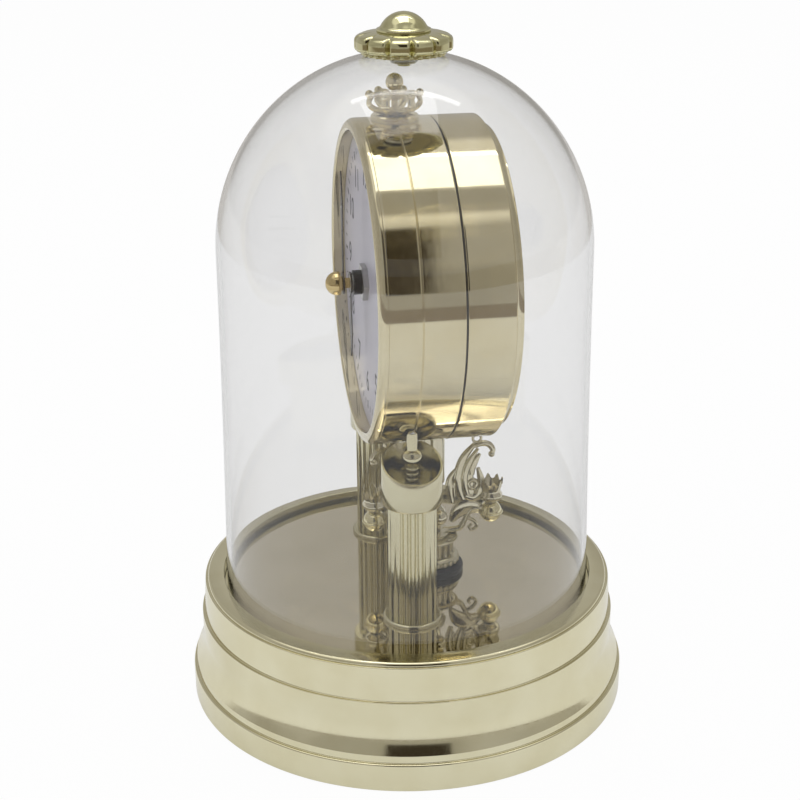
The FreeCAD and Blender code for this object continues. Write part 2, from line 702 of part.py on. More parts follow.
def spindle():
    seat = CAPITAL_Z + CAPITAL_FLOOR
    bore = ROD_RADIUS + SLIP_GAP
    steps = [
        (bore, seat),
        (SPINDLE_FOOT_RADIUS, seat),
        (SPINDLE_FOOT_RADIUS, seat + SPINDLE_FOOT_HEIGHT),
        (SPINDLE_NECK_RADIUS, seat + SPINDLE_FOOT_HEIGHT),
    ]
    height = seat + SPINDLE_FOOT_HEIGHT
    for _ in range(SPINDLE_RING_COUNT):
        swell = SPINDLE_RING_RADIUS - SPINDLE_NECK_RADIUS
        steps.append((SPINDLE_NECK_RADIUS, height + SPINDLE_GAP / 2))
        height += SPINDLE_RING_PITCH
        steps.append((SPINDLE_NECK_RADIUS, height - SPINDLE_GAP / 2, swell))
    drop = math.sqrt(SPINDLE_BALL_RADIUS ** 2 - SPINDLE_NECK_RADIUS ** 2)
    rise = math.sqrt(SPINDLE_BALL_RADIUS ** 2 - SPINDLE_TOP_RADIUS ** 2)
    ball_z = height + drop
    chord = math.hypot(drop + rise, SPINDLE_TOP_RADIUS - SPINDLE_NECK_RADIUS)
    near_top = drum_under(COLUMN_X + SPINDLE_TOP_RADIUS) + OVERRUN
    steps += [
        (SPINDLE_NECK_RADIUS, height),
        (SPINDLE_TOP_RADIUS, ball_z + rise, sphere_bow(SPINDLE_BALL_RADIUS, chord)),
        (SPINDLE_TOP_RADIUS, near_top),
        (bore, near_top),
    ]
    return solid_of(turned(steps, COLUMN_X, COLUMN_Y).cut(drum_space()))


def rod_top_z():
    """Where the flat boss for a rod's nut ends inside the drum."""
    wall_z = DRUM_CENTRE_Z - math.sqrt(DRUM_INNER_RADIUS ** 2 - (COLUMN_X + NUT_RADIUS) ** 2)
    return wall_z + ROD_BOSS_SPARE


def tie_rods():
    low = DECK_Z - NUT_HEIGHT - ROD_END
    high = rod_top_z() + NUT_HEIGHT + ROD_END
    return Part.makeCompound([post(ROD_RADIUS, low, high, x, y) for x, y in rod_places()])


def rod_nuts():
    nuts = []
    for x, y in rod_places():
        for low in (DECK_Z - NUT_HEIGHT, rod_top_z()):
            face = hexagon(NUT_RADIUS, FreeCAD.Vector(x, y, low), X_AXIS, Y_AXIS)
            nut = face.extrude(Z_AXIS * NUT_HEIGHT)
            bore = post(ROD_RADIUS, low - OVERRUN, low + NUT_HEIGHT + OVERRUN, x, y)
            nuts.append(solid_of(nut.cut(bore)))
    return Part.makeCompound(nuts)


# Drum

def pendulum_hole():
    return post(PENDULUM_HOLE_RADIUS, DRUM_BOTTOM_Z - OVERRUN, DRIVE_Z, 0, PENDULUM_Y)


def drum_body():
    line_y = DRUM_FRONT_Y + BODY_LINE_FROM_FRONT
    half = BODY_LINE_WIDTH / 2
    ledge = DRUM_INNER_RADIUS - DIAL_LEDGE_WIDTH
    tube = turned_across([
        (DRUM_RADIUS, BEZEL_REAR_Y),
        (DRUM_RADIUS, line_y - half),
        (DRUM_RADIUS - BODY_LINE_DEPTH, line_y),
        (DRUM_RADIUS, line_y + half),
        (DRUM_RADIUS, BAND_Y),
        (DRUM_INNER_RADIUS, BAND_Y),
        (DRUM_INNER_RADIUS, DIAL_REAR_Y + DIAL_LEDGE_DEPTH),
        (ledge, DIAL_REAR_Y + DIAL_LEDGE_DEPTH),
        (ledge, DIAL_REAR_Y),
        (DRUM_INNER_RADIUS, DIAL_REAR_Y),
        (DRUM_INNER_RADIUS, BEZEL_REAR_Y),
    ])
    inside = rod_across(DRUM_RADIUS - DRUM_WALL / 2, DRUM_FRONT_Y, BAND_Y)
    bosses = []
    for x, y in rod_places():
        bosses.append(post(ROD_BOSS_RADIUS, DRUM_BOTTOM_Z, rod_top_z(), x, y).common(inside))
    body = joined([tube] + bosses)
    holes = [post(ROD_RADIUS + HOLE_GAP, DRUM_BOTTOM_Z - OVERRUN, rod_top_z() + OVERRUN, x, y)
             for x, y in rod_places()]
    return solid_of(body.cut(holes + [pendulum_hole()]))


def bezel_ring():
    inner = DRUM_RADIUS - BEZEL_INNER_INSET
    crest = DRUM_RADIUS - BEZEL_CREST_INSET
    return turned_across([
        (inner, DIAL_Y),
        (DRUM_INNER_RADIUS - HOLE_GAP, DIAL_Y),
        (DRUM_INNER_RADIUS - HOLE_GAP, BEZEL_REAR_Y),
        (DRUM_RADIUS, BEZEL_REAR_Y),
        (crest, DRUM_FRONT_Y, -BEZEL_BOW),
        (inner, DRUM_FRONT_Y + BEZEL_LIP_DROP, -LIP_CREST_BOW),
    ])


def seam_band():
    """Dark recessed ring between the drum's two shells."""
    band = turned_across([
        (DRUM_INNER_RADIUS, BAND_Y),
        (DRUM_RADIUS - BAND_DEPTH, BAND_Y),
        (DRUM_RADIUS - BAND_DEPTH, SHELL_Y),
        (DRUM_INNER_RADIUS, SHELL_Y),
    ])
    return solid_of(band.cut(pendulum_hole()))


def rear_shell():
    spigot_outer = DRUM_INNER_RADIUS - HOLE_GAP
    spigot_inner = spigot_outer - SPIGOT_WALL
    back_inner_y = DRUM_REAR_Y - REAR_LIP
    shell = turned_across([
        (DRUM_RADIUS, SHELL_Y),
        (spigot_outer, SHELL_Y),
        (spigot_outer, BAND_Y - SPIGOT_LENGTH),
        (spigot_inner, BAND_Y - SPIGOT_LENGTH),
        (spigot_inner, back_inner_y - REAR_ROUND / 2),
        (spigot_inner - REAR_ROUND / 2, back_inner_y),
        (REAR_OPENING_RADIUS, back_inner_y),
        (REAR_OPENING_RADIUS, DRUM_REAR_Y),
        (DRUM_RADIUS - REAR_ROUND, DRUM_REAR_Y),
        (DRUM_RADIUS, DRUM_REAR_Y - REAR_ROUND, REAR_ROUND * QUARTER_BOW_SHARE),
    ])
    return solid_of(shell.cut(pendulum_hole()))


def dial_plate():
    plate = rod_across(DRUM_INNER_RADIUS - HOLE_GAP, DIAL_Y, DIAL_REAR_Y)
    hole = rod_across(BUSHING_RADIUS + SLIP_GAP, DIAL_Y - OVERRUN, DIAL_REAR_Y + OVERRUN)
    return solid_of(plate.cut(hole))


# Movement

def movement_block(low_y, high_y, inset=0.0):
    """Rounded box in the movement's outline, or that much inside it."""
    half = MOVEMENT_HALF_WIDTH - inset
    low = DRUM_CENTRE_Z - MOVEMENT_DOWN + inset
    high = DRUM_CENTRE_Z + MOVEMENT_UP - inset
    corner = MOVEMENT_CORNER - inset
    bow = corner * QUARTER_BOW_SHARE
    face = outline_face([
        (half, low + corner),
        (half, high - corner),
        (half - corner, high, bow),
        (corner - half, high),
        (-half, high - corner, bow),
        (-half, low + corner),
        (corner - half, low, bow),
        (half - corner, low),
        (half, low + corner, bow),
    ], Y_AXIS * low_y, X_AXIS, Z_AXIS)
    return solid_of(face.extrude(Y_AXIS * (high_y - low_y)))


def movement_case():
    outer = movement_block(DIAL_REAR_Y, COVER_Y)
    hollow = movement_block(CASE_INNER_Y, COVER_Y + OVERRUN, MOVEMENT_WALL)
    half = MOVEMENT_HALF_WIDTH - MOVEMENT_WALL / 2
    bay_low = (-half, CASE_INNER_Y - MOVEMENT_WALL / 2, BAY_TOP_Z)
    bay_wall = block(bay_low, (half, COVER_Y, BAY_TOP_Z + BAY_WALL))
    bushing = rod_across(BUSHING_RADIUS, DIAL_Y - BUSHING_REACH, CASE_INNER_Y)
    case = joined([outer.cut(hollow), bay_wall, bushing])
    past = CASE_INNER_Y + OVERRUN
    pipe_hole = rod_across(HOUR_PIPE_RADIUS + SLIP_GAP, DIAL_Y - BUSHING_REACH - OVERRUN, past)
    pivot_hole = rod_across(PIVOT_RADIUS + SLIP_GAP, CASE_INNER_Y - PIVOT_LENGTH, past, SET_X, SET_Z)
    return solid_of(case.cut([pipe_hole, pivot_hole]))


def movement_cover():
    outer = movement_block(COVER_Y, MOVEMENT_REAR_Y)
    hollow = movement_block(COVER_Y - OVERRUN, COVER_INNER_Y, MOVEMENT_WALL)
    half = MOVEMENT_HALF_WIDTH - MOVEMENT_WALL / 2
    bay_high = (half, COVER_INNER_Y + MOVEMENT_WALL / 2, BAY_TOP_Z + BAY_WALL)
    bay_wall = block((-half, COVER_Y, BAY_TOP_Z), bay_high)
    boss_y = CANNON_Y + CANNON_WIDTH + WHEEL_GAP
    boss = rod_across(BEARING_BOSS_RADIUS, boss_y, MOVEMENT_REAR_Y - MOVEMENT_WALL / 2)
    post_y = board_y() + BOARD_THICKNESS
    post_end = MOVEMENT_REAR_Y - MOVEMENT_WALL / 2
    posts = [rod_across(BOARD_POST_RADIUS, post_y, post_end, side * BOARD_POST_X, board_middle_z())
             for side in (-1, 1)]
    cover = joined([outer.cut(hollow), bay_wall, boss] + posts)
    bay_half = BATTERY_LENGTH / 2 + BATTERY_TIP
    window = block((-bay_half, COVER_INNER_Y - OVERRUN, BATTERY_Z - BATTERY_RADIUS),
                   (bay_half, MOVEMENT_REAR_Y + OVERRUN, BATTERY_Z + BATTERY_RADIUS))
    pivot_hole = rod_across(PIVOT_RADIUS + SLIP_GAP, boss_y - OVERRUN, boss_y + PIVOT_LENGTH + WHEEL_GAP)
    shaft_hole = rod_across(SET_SHAFT_RADIUS + SLIP_GAP, COVER_INNER_Y - OVERRUN,
                            MOVEMENT_REAR_Y + OVERRUN, SET_X, SET_Z)
    return solid_of(cover.cut([window, pivot_hole, shaft_hole]))


def bushing_nut():
    centre = FreeCAD.Vector(0, DIAL_Y - BUSHING_NUT_HEIGHT, DRUM_CENTRE_Z)
    nut = hexagon(BUSHING_NUT_RADIUS, centre, X_AXIS, Z_AXIS).extrude(Y_AXIS * BUSHING_NUT_HEIGHT)
    bore = rod_across(BUSHING_RADIUS, DIAL_Y - BUSHING_NUT_HEIGHT - OVERRUN, DIAL_Y + OVERRUN)
    return solid_of(nut.cut(bore))


def board_y():
    return COVER_Y + BOARD_THICKNESS


def board_middle_z():
    return DRUM_CENTRE_Z + BOARD_BOTTOM_RISE + BOARD_HEIGHT / 2


def circuit_board():
    """Board with the round lump that covers its chip."""
    back = board_y() + BOARD_THICKNESS
    low_z = DRUM_CENTRE_Z + BOARD_BOTTOM_RISE
    board = block((-BOARD_HALF_WIDTH, board_y(), low_z), (BOARD_HALF_WIDTH, back, low_z + BOARD_HEIGHT))
    chip = rod_across(CHIP_RADIUS, back - BOARD_THICKNESS / 2, back + CHIP_HEIGHT, 0, board_middle_z())
    return joined([board, chip])


def bobbin(length_half, radius, cheek_radius, centre):
    """Coil on its bobbin, lying along X."""
    low = centre - X_AXIS * length_half
    high = centre + X_AXIS * (length_half - COIL_CHEEK)
    core = Part.makeCylinder(radius, 2 * length_half, low, X_AXIS)
    cheeks = [Part.makeCylinder(cheek_radius, COIL_CHEEK, end, X_AXIS) for end in (low, high)]
    return joined([core] + cheeks)


def movement_coil():
    centre = FreeCAD.Vector(0, board_y() - COIL_CHEEK_RADIUS, board_middle_z())
    return bobbin(COIL_HALF_LENGTH, COIL_RADIUS, COIL_CHEEK_RADIUS, centre)


def battery():
    centre = FreeCAD.Vector(0, BATTERY_Y, BATTERY_Z)
    half = BATTERY_LENGTH / 2
    cell = Part.makeCylinder(BATTERY_RADIUS, BATTERY_LENGTH, centre - X_AXIS * half, X_AXIS)
    tip = Part.makeCylinder(BATTERY_TIP_RADIUS, BATTERY_TIP, centre + X_AXIS * half, X_AXIS)
    return joined([cell, tip])


def battery_contacts():
    half = BATTERY_LENGTH / 2
    wall = MOVEMENT_HALF_WIDTH - MOVEMENT_WALL
    low_y = BATTERY_Y - CONTACT_HALF_HEIGHT
    low_z = BATTERY_Z - CONTACT_HALF_HEIGHT
    high_y = BATTERY_Y + CONTACT_HALF_HEIGHT
    high_z = BATTERY_Z + CONTACT_HALF_HEIGHT
    plus = block((half + BATTERY_TIP, low_y, low_z), (wall, high_y, high_z))
    spring = Part.makeCone(CONTACT_HALF_HEIGHT, CONTACT_HALF_HEIGHT / 2, wall - half - CONTACT_THICKNESS,
                           FreeCAD.Vector(CONTACT_THICKNESS - wall, BATTERY_Y, BATTERY_Z), X_AXIS)
    plate = block((-wall, low_y, low_z), (CONTACT_THICKNESS - wall, high_y, high_z))
    return Part.makeCompound([plus, joined([plate, spring])])


# Motion work

def module_of(teeth_one, teeth_two):
    return 2 * SET_DISTANCE / (teeth_one + teeth_two)


def gear(teeth, module, angle, low_y, high_y, x=0, z=DRUM_CENTRE_Z):
    """Toothed wheel with its axis along Y and a tooth pointing at the given angle."""
    pitch_radius = module * teeth / 2
    tip = pitch_radius + module * ADDENDUM_SHARE
    root = pitch_radius - module * DEDENDUM_SHARE
    pitch = 2 * math.pi / teeth
    corners = []
    for index in range(teeth):
        middle = math.radians(angle) + index * pitch
        flank = [(root, TOOTH_ROOT_SHARE), (pitch_radius, TOOTH_PITCH_SHARE), (tip, TOOTH_TIP_SHARE)]
        for radius, share in flank:
            turn = middle - pitch * share / 2
            corners.append((radius * math.cos(turn), radius * math.sin(turn)))
        for radius, share in reversed(flank):
            turn = middle + pitch * share / 2
            corners.append((radius * math.cos(turn), radius * math.sin(turn)))
    face = outline_face(corners, FreeCAD.Vector(x, low_y, z), X_AXIS, Z_AXIS)
    return solid_of(face.extrude(Y_AXIS * (high_y - low_y)))


def minute_arbor():
    module = module_of(CANNON_TEETH, MINUTE_WHEEL_TEETH)
    pinion = gear(CANNON_TEETH, module, SET_ANGLE, CANNON_Y, CANNON_Y + CANNON_WIDTH)
    shaft = rod_across(MINUTE_ARBOR_RADIUS, HAND_NUT_Y - ARBOR_PAST_HAND, CANNON_Y + CANNON_WIDTH / 2)
    pivot = rod_across(PIVOT_RADIUS, CANNON_Y, CANNON_Y + CANNON_WIDTH + WHEEL_GAP + PIVOT_LENGTH)
    return joined([pinion, shaft, pivot])


def hour_wheel():
    module = module_of(MINUTE_PINION_TEETH, HOUR_WHEEL_TEETH)
    wheel = gear(HOUR_WHEEL_TEETH, module, SET_ANGLE, HOUR_WHEEL_Y, HOUR_WHEEL_Y + HOUR_WHEEL_WIDTH)
    pipe = rod_across(HOUR_PIPE_RADIUS, HOUR_HAND_Y - HAND_THICKNESS, HOUR_WHEEL_Y + HOUR_WHEEL_WIDTH / 2)
    bore = rod_across(MINUTE_ARBOR_RADIUS + SLIP_GAP, HOUR_HAND_Y - OVERRUN, CANNON_Y)
    return solid_of(joined([wheel, pipe]).cut(bore))


def minute_wheel():
    facing = SET_ANGLE + FULL_TURN / 2
    wheel_module = module_of(CANNON_TEETH, MINUTE_WHEEL_TEETH)
    wheel = gear(MINUTE_WHEEL_TEETH, wheel_module, facing + FULL_TURN / MINUTE_WHEEL_TEETH / 2,
                 CANNON_Y, CANNON_Y + CANNON_WIDTH / 2, SET_X, SET_Z)
    pinion_module = module_of(MINUTE_PINION_TEETH, HOUR_WHEEL_TEETH)
    pinion = gear(MINUTE_PINION_TEETH, pinion_module, facing + FULL_TURN / MINUTE_PINION_TEETH / 2,
                  HOUR_WHEEL_Y, CANNON_Y + PINION_OVERLAP, SET_X, SET_Z)
    pivot = rod_across(PIVOT_RADIUS, CASE_INNER_Y - PIVOT_LENGTH + SLIP_GAP, CANNON_Y, SET_X, SET_Z)
    shaft_end = MOVEMENT_REAR_Y + KNOB_STANDOFF
    shaft = rod_across(SET_SHAFT_RADIUS, CANNON_Y + PINION_OVERLAP, shaft_end, SET_X, SET_Z)
    return joined([wheel, pinion, pivot, shaft])


def setting_knob():
    low = MOVEMENT_REAR_Y + KNOB_STANDOFF
    face = notched_face(KNOB_RADIUS, KNOB_LOBES, KNOB_NOTCH_SHARE, KNOB_NOTCH,
                        FreeCAD.Vector(SET_X, low, SET_Z), X_AXIS, Z_AXIS)
    return solid_of(face.extrude(Y_AXIS * KNOB_LENGTH))


# Hands

def hand(length, low_y, pointing, bore):
    """Flat leaf-shaped hand with a round hub, pointing up for 1 and down for -1."""
    start = HAND_HUB_RADIUS / 2
    belly = start + (length - start) * HAND_BELLY_SHARE
    centre = FreeCAD.Vector(0, low_y, DRUM_CENTRE_Z)
    blade = outline_face([
        (HAND_TAIL_HALF, start),
        (HAND_BELLY_HALF, belly, HAND_TAIL_HALF),
        (HAND_TIP_HALF, length),
        (-HAND_TIP_HALF, length),
        (-HAND_BELLY_HALF, belly),
        (-HAND_TAIL_HALF, start, HAND_TAIL_HALF),
    ], centre, X_AXIS, Z_AXIS * pointing).extrude(Y_AXIS * HAND_THICKNESS)
    hub = rod_across(HAND_HUB_RADIUS, low_y, low_y + HAND_THICKNESS)
    whole = joined([hub, solid_of(blade)])
    return solid_of(whole.cut(rod_across(bore, low_y - OVERRUN, low_y + OVERRUN)))


def hour_hand():
    return hand(HOUR_HAND_LENGTH, HOUR_HAND_Y - HAND_THICKNESS, -1, HOUR_PIPE_RADIUS)


def minute_hand():
    return hand(MINUTE_HAND_LENGTH, HAND_NUT_Y, 1, MINUTE_ARBOR_RADIUS)


def hand_nut():
    front = HAND_NUT_Y - HAND_NUT_LENGTH
    bow = cap_bow(HAND_NUT_RADIUS, HAND_NUT_LENGTH - HAND_NUT_RIM)
    return turned_across([
        (MINUTE_ARBOR_RADIUS, HAND_NUT_Y),
        (MINUTE_ARBOR_RADIUS, HAND_NUT_Y - HAND_NUT_BORE_DEPTH),
        (0, HAND_NUT_Y - HAND_NUT_BORE_DEPTH),
        (0, front),
        (HAND_NUT_RADIUS, HAND_NUT_Y - HAND_NUT_RIM, bow),
        (HAND_NUT_RADIUS, HAND_NUT_Y),
    ])


# Pendulum drive

def belly_space():
    radius = DRUM_INNER_RADIUS - SEAT_GAP - SPIGOT_WALL - HOLE_GAP
    return rod_across(radius, PENDULUM_Y - DRIVE_HALF_DEPTH, PENDULUM_Y + DRIVE_HALF_DEPTH)


def drive_box(inset, low, high):
    return block((inset - DRIVE_HALF_WIDTH, PENDULUM_Y - DRIVE_HALF_DEPTH + inset, low),
                 (DRIVE_HALF_WIDTH - inset, PENDULUM_Y + DRIVE_HALF_DEPTH - inset, high))


def drive_case():
    outer = drive_box(0, DRUM_BOTTOM_Z, DRIVE_TOP_Z).common(belly_space())
    hollow = drive_box(DRIVE_WALL, DRIVE_Z, DRIVE_TOP_Z + OVERRUN)
    bearing = post(DRIVE_SHAFT_RADIUS + SLIP_GAP, DRUM_BOTTOM_Z, DRIVE_Z + OVERRUN, 0, PENDULUM_Y)
    return solid_of(outer.cut([hollow, bearing]))


def drive_cover():
    plate = drive_box(0, DRIVE_TOP_Z, DRIVE_TOP_Z + DRIVE_COVER)
    pivot_top = DRIVE_TOP_Z + PIVOT_LENGTH
    bearing = post(PIVOT_RADIUS + SLIP_GAP, DRIVE_TOP_Z - OVERRUN, pivot_top, 0, PENDULUM_Y)
    return solid_of(plate.cut(bearing))


def drive_magnet():
    low = DRIVE_Z + MAGNET_RAISE
    high = low + MAGNET_HEIGHT
    bore = post(DRIVE_SHAFT_RADIUS, low - OVERRUN, high + OVERRUN, 0, PENDULUM_Y)
    return solid_of(post(MAGNET_RADIUS, low, high, 0, PENDULUM_Y).cut(bore))


def drive_shaft():
    shaft_top = DRIVE_TOP_Z - TURNING_GAP
    pivot_top = DRIVE_TOP_Z + PIVOT_LENGTH - SEAT_GAP
    shaft = post(DRIVE_SHAFT_RADIUS, SHAFT_END_Z, shaft_top, 0, PENDULUM_Y)
    pivot = post(PIVOT_RADIUS, shaft_top - PIVOT_LENGTH, pivot_top, 0, PENDULUM_Y)
    return joined([shaft, pivot])


def drive_coils():
    coils = []
    for side in (-1, 1):
        centre = FreeCAD.Vector(side * DRIVE_COIL_X, PENDULUM_Y - DRIVE_COIL_HALF_LENGTH,
                                DRIVE_Z + DRIVE_COIL_RADIUS)
        coils.append(Part.makeCylinder(DRIVE_COIL_RADIUS, 2 * DRIVE_COIL_HALF_LENGTH, centre, Y_AXIS))
    return Part.makeCompound(coils)


# Pendulum

def guide_cup():
    return turned([
        (0, FLOOR_Z),
        (CUP_RADIUS, FLOOR_Z),
        (CUP_RADIUS, FLOOR_Z + CUP_HEIGHT - CUP_EDGE),
        (CUP_RADIUS - CUP_EDGE, FLOOR_Z + CUP_HEIGHT, CUP_EDGE * QUARTER_BOW_SHARE),
        (CUP_WELL_RADIUS, FLOOR_Z + CUP_HEIGHT),
        (CUP_WELL_RADIUS, FLOOR_Z + CUP_WELL_FLOOR),
        (0, FLOOR_Z + CUP_WELL_FLOOR),
    ], 0, PENDULUM_Y)


def bead_ring():
    face = notched_face(BEAD_RING_RADIUS, BEAD_COUNT, BEAD_NOTCH_SHARE, BEAD_NOTCH,
                        pendulum_axis(BEAD_RING_Z), X_AXIS, Y_AXIS)
    ring = solid_of(face.extrude(Z_AXIS * BEAD_RING_HEIGHT))
    spigot_low = BEAD_RING_Z - SPIGOT_DROP
    spigot = post(SPIGOT_RADIUS, spigot_low, BEAD_RING_Z + BEAD_RING_HEIGHT / 2, 0, PENDULUM_Y)
    return joined([ring, spigot])


def lantern():
    """Ribbed body with a waist between two round plates."""
    edge = LANTERN_PLATE
    edge_bow = edge * SOFT_BOW_SHARE
    ribs = notched_face(LANTERN_WAIST_RADIUS, LANTERN_RIBS, LANTERN_NOTCH_SHARE, LANTERN_RIB_DEPTH,
                        pendulum_axis(LANTERN_Z + edge), X_AXIS, Y_AXIS).extrude(Z_AXIS * (LANTERN_HEIGHT - 2 * edge))
    low_plate = turned([
        (0, LANTERN_Z), (LANTERN_RADIUS, LANTERN_Z),
        (LANTERN_WAIST_RADIUS, LANTERN_Z + edge, edge_bow), (0, LANTERN_Z + edge),
    ], 0, PENDULUM_Y)
    top_plate = turned([
        (0, HUB_Z - edge),
        (LANTERN_WAIST_RADIUS, HUB_Z - edge),
        (LANTERN_RADIUS, HUB_Z - edge / 2, -edge_bow),
        (LANTERN_RADIUS - edge, HUB_Z, edge_bow / 2),
        (0, HUB_Z),
    ], 0, PENDULUM_Y)
    return joined([low_plate, solid_of(ribs), top_plate])


def pendulum_stem():
    vase_low = HUB_Z + HUB_HEIGHT
    vase_middle = vase_low + STEM_VASE_RISE
    vase_top = vase_low + STEM_VASE_HEIGHT
    ring_z = (vase_top + SLEEVE_Z) / 2
    swell = STEM_RING_RADIUS - STEM_RADIUS
    return turned([
        (0, vase_low),
        (STEM_RADIUS, vase_low),
        (STEM_VASE_RADIUS, vase_middle, -swell / 2),
        (STEM_RADIUS, vase_top, swell),
        (STEM_RADIUS, ring_z - swell),
        (STEM_RADIUS, ring_z + swell, swell),
        (STEM_RADIUS, SLEEVE_Z),
        (SLEEVE_RADIUS - SLEEVE_ROUND, SLEEVE_Z),
        (SLEEVE_RADIUS, SLEEVE_Z + SLEEVE_ROUND, SLEEVE_ROUND * QUARTER_BOW_SHARE),
        (SLEEVE_RADIUS, SLEEVE_TOP_Z - SLEEVE_ROUND),
        (SLEEVE_RADIUS - SLEEVE_ROUND, SLEEVE_TOP_Z, SLEEVE_ROUND * QUARTER_BOW_SHARE),
        (DRIVE_SHAFT_RADIUS, SLEEVE_TOP_Z),
        (DRIVE_SHAFT_RADIUS, SHAFT_END_Z),
        (0, SHAFT_END_Z),
    ], 0, PENDULUM_Y)


def pendulum_axis(height=0):
    return FreeCAD.Vector(0, PENDULUM_Y, height)


def ball_centre(side):
    return FreeCAD.Vector(0, PENDULUM_Y + side * BALL_ORBIT, BALL_Z)


def arm_root():
    return (HUB_RADIUS - ARM_HALF_WIDTH, HUB_Z + HUB_HEIGHT / 2)


def long_arm(side):
    """Scroll from the hub up beside the stem and out to a ball."""
    rise = BALL_Z - HUB_Z
    line = [arm_root()]
    for out_share, rise_share in zip(ARM_OUT_SHARES, ARM_RISE_SHARES):
        line.append((BALL_ORBIT * out_share, HUB_Z + rise * rise_share))
    widths = [ARM_HALF_WIDTH * share for share in ARM_WIDTH_SHARES]
    face = ribbon_face(line, widths, pendulum_axis(), Y_AXIS * side, Z_AXIS)
    return slab(face, X_AXIS, ARM_HALF_THICKNESS)


def side_arm(side):
    """Short arm across the long pair, ending in a small ball."""
    height = FLOOR_Z + SIDE_ARM_HEIGHT
    rise = height - HUB_Z
    line = [arm_root()]
    for out_share, rise_share in zip(SIDE_ARM_OUT_SHARES, SIDE_ARM_RISE_SHARES):
        line.append((SIDE_ARM_REACH * out_share, HUB_Z + rise * rise_share))
    widths = [ARM_HALF_WIDTH * share for share in SIDE_ARM_WIDTH_SHARES]
    face = ribbon_face(line, widths, pendulum_axis(), X_AXIS * side, Z_AXIS)
    ball = Part.makeSphere(SIDE_BALL_RADIUS, pendulum_axis(height) + X_AXIS * (side * SIDE_ARM_REACH))
    return [slab(face, Y_AXIS, ARM_HALF_THICKNESS), ball]


def pendulum_arms():
    hub = turned([
        (0, HUB_Z), (HUB_RADIUS, HUB_Z),
        (HUB_RADIUS, HUB_Z + HUB_HEIGHT, HUB_HEIGHT * SOFT_BOW_SHARE), (0, HUB_Z + HUB_HEIGHT),
    ], 0, PENDULUM_Y)
    arms = [long_arm(1), long_arm(-1)] + side_arm(1) + side_arm(-1)
    whole = joined([hub] + arms)
    below = post(BALL_ORBIT, LANTERN_Z, HUB_Z, 0, PENDULUM_Y)
    return solid_of(whole.cut([pendulum_ball(1), pendulum_ball(-1), below]))


def pendulum_ball(side):
    """Ball with a raised ring round its middle."""
    centre = ball_centre(side)
    ring_half = BALL_RADIUS * BALL_RING_SHARE
    flat = math.sqrt(BALL_RADIUS ** 2 - ring_half ** 2)
    bow = sphere_bow(BALL_RADIUS, math.hypot(BALL_RADIUS - ring_half, flat))
    return turned([
        (0, centre.z - BALL_RADIUS),
        (flat, centre.z - ring_half, bow),
        (flat + ring_half, centre.z),
        (flat, centre.z + ring_half),
        (0, centre.z + BALL_RADIUS, bow),
    ], centre.x, centre.y)


def pendulum_crown(side):
    """Open cup on a short neck above a ball."""
    centre = ball_centre(side)
    low = centre.z + BALL_RADIUS
    top = low + CROWN_HEIGHT
    cup_floor = top - CROWN_CUP_DEPTH
    return turned([
        (0, low),
        (CROWN_CUP_RADIUS * CROWN_FOOT_SHARE, low),
        (CROWN_NECK_RADIUS, low + CROWN_HEIGHT * CROWN_NECK_SHARE, -CROWN_WALL * SOFT_BOW_SHARE),
        (CROWN_CUP_RADIUS, top - CROWN_CUP_DEPTH / 2, CROWN_WALL),
        (CROWN_CUP_RADIUS, top),
        (CROWN_CUP_RADIUS - CROWN_WALL, top),
        (CROWN_CUP_RADIUS - CROWN_WALL, cup_floor),
        (0, cup_floor),
    ], centre.x, centre.y)


def leaf_strip(out_shares, rise_shares, width_shares, side, half_thickness):
    """Flat strip of the leaf, drawn in shares of the ball's orbit and of the leaf's rise."""
    foot, rise = leaf_span()
    line = [(BALL_ORBIT * out_share, foot + rise * rise_share)
            for out_share, rise_share in zip(out_shares, rise_shares)]
    widths = [LEAF_RING_RADIUS * share for share in width_shares]
    face = ribbon_face(line, widths, pendulum_axis(), Y_AXIS * side, Z_AXIS)
    return slab(face, X_AXIS, half_thickness)


def leaf_span():
    """Height where the leaf starts, and how far it rises from there."""
    foot = BALL_Z + ARM_HALF_WIDTH
    return foot, SLEEVE_TOP_Z - LEAF_RING_ROOM - foot


def pendulum_leaf(side):
    """Leaf scroll that rises from the arm's shoulder to a small ring under the drum."""
    foot, rise = leaf_span()
    blade = leaf_strip(LEAF_OUT_SHARES, LEAF_RISE_SHARES, LEAF_WIDTH_SHARES, side, LEAF_HALF_THICKNESS)
    curl = leaf_strip(CURL_OUT_SHARES, CURL_RISE_SHARES, CURL_WIDTH_SHARES, side, CURL_HALF_THICKNESS)
    out = Y_AXIS * (side * BALL_ORBIT * LEAF_RING_OUT_SHARE)
    centre = pendulum_axis(foot + rise + LEAF_RING_RAISE) + out
    low = centre - X_AXIS * LEAF_HALF_THICKNESS
    ring = Part.makeCylinder(LEAF_RING_RADIUS, 2 * LEAF_HALF_THICKNESS, low, X_AXIS)
    hole = Part.makeCylinder(LEAF_RING_BORE, 2 * OVERRUN, centre - X_AXIS * OVERRUN, X_AXIS)
    return solid_of(joined([blade, curl, ring]).cut(hole).cut(pendulum_arms()))


# Crest

def crest_plinth():
    plinth = turned([
        (0, DRUM_TOP_Z - OVERRUN),
        (PLINTH_RADIUS, DRUM_TOP_Z - OVERRUN),
        (PLINTH_RADIUS, PLINTH_Z - PLINTH_EDGE),
        (PLINTH_RADIUS - PLINTH_EDGE, PLINTH_Z),
        (0, PLINTH_Z),
    ], 0, CREST_Y)
    return solid_of(plinth.cut(drum_space()))


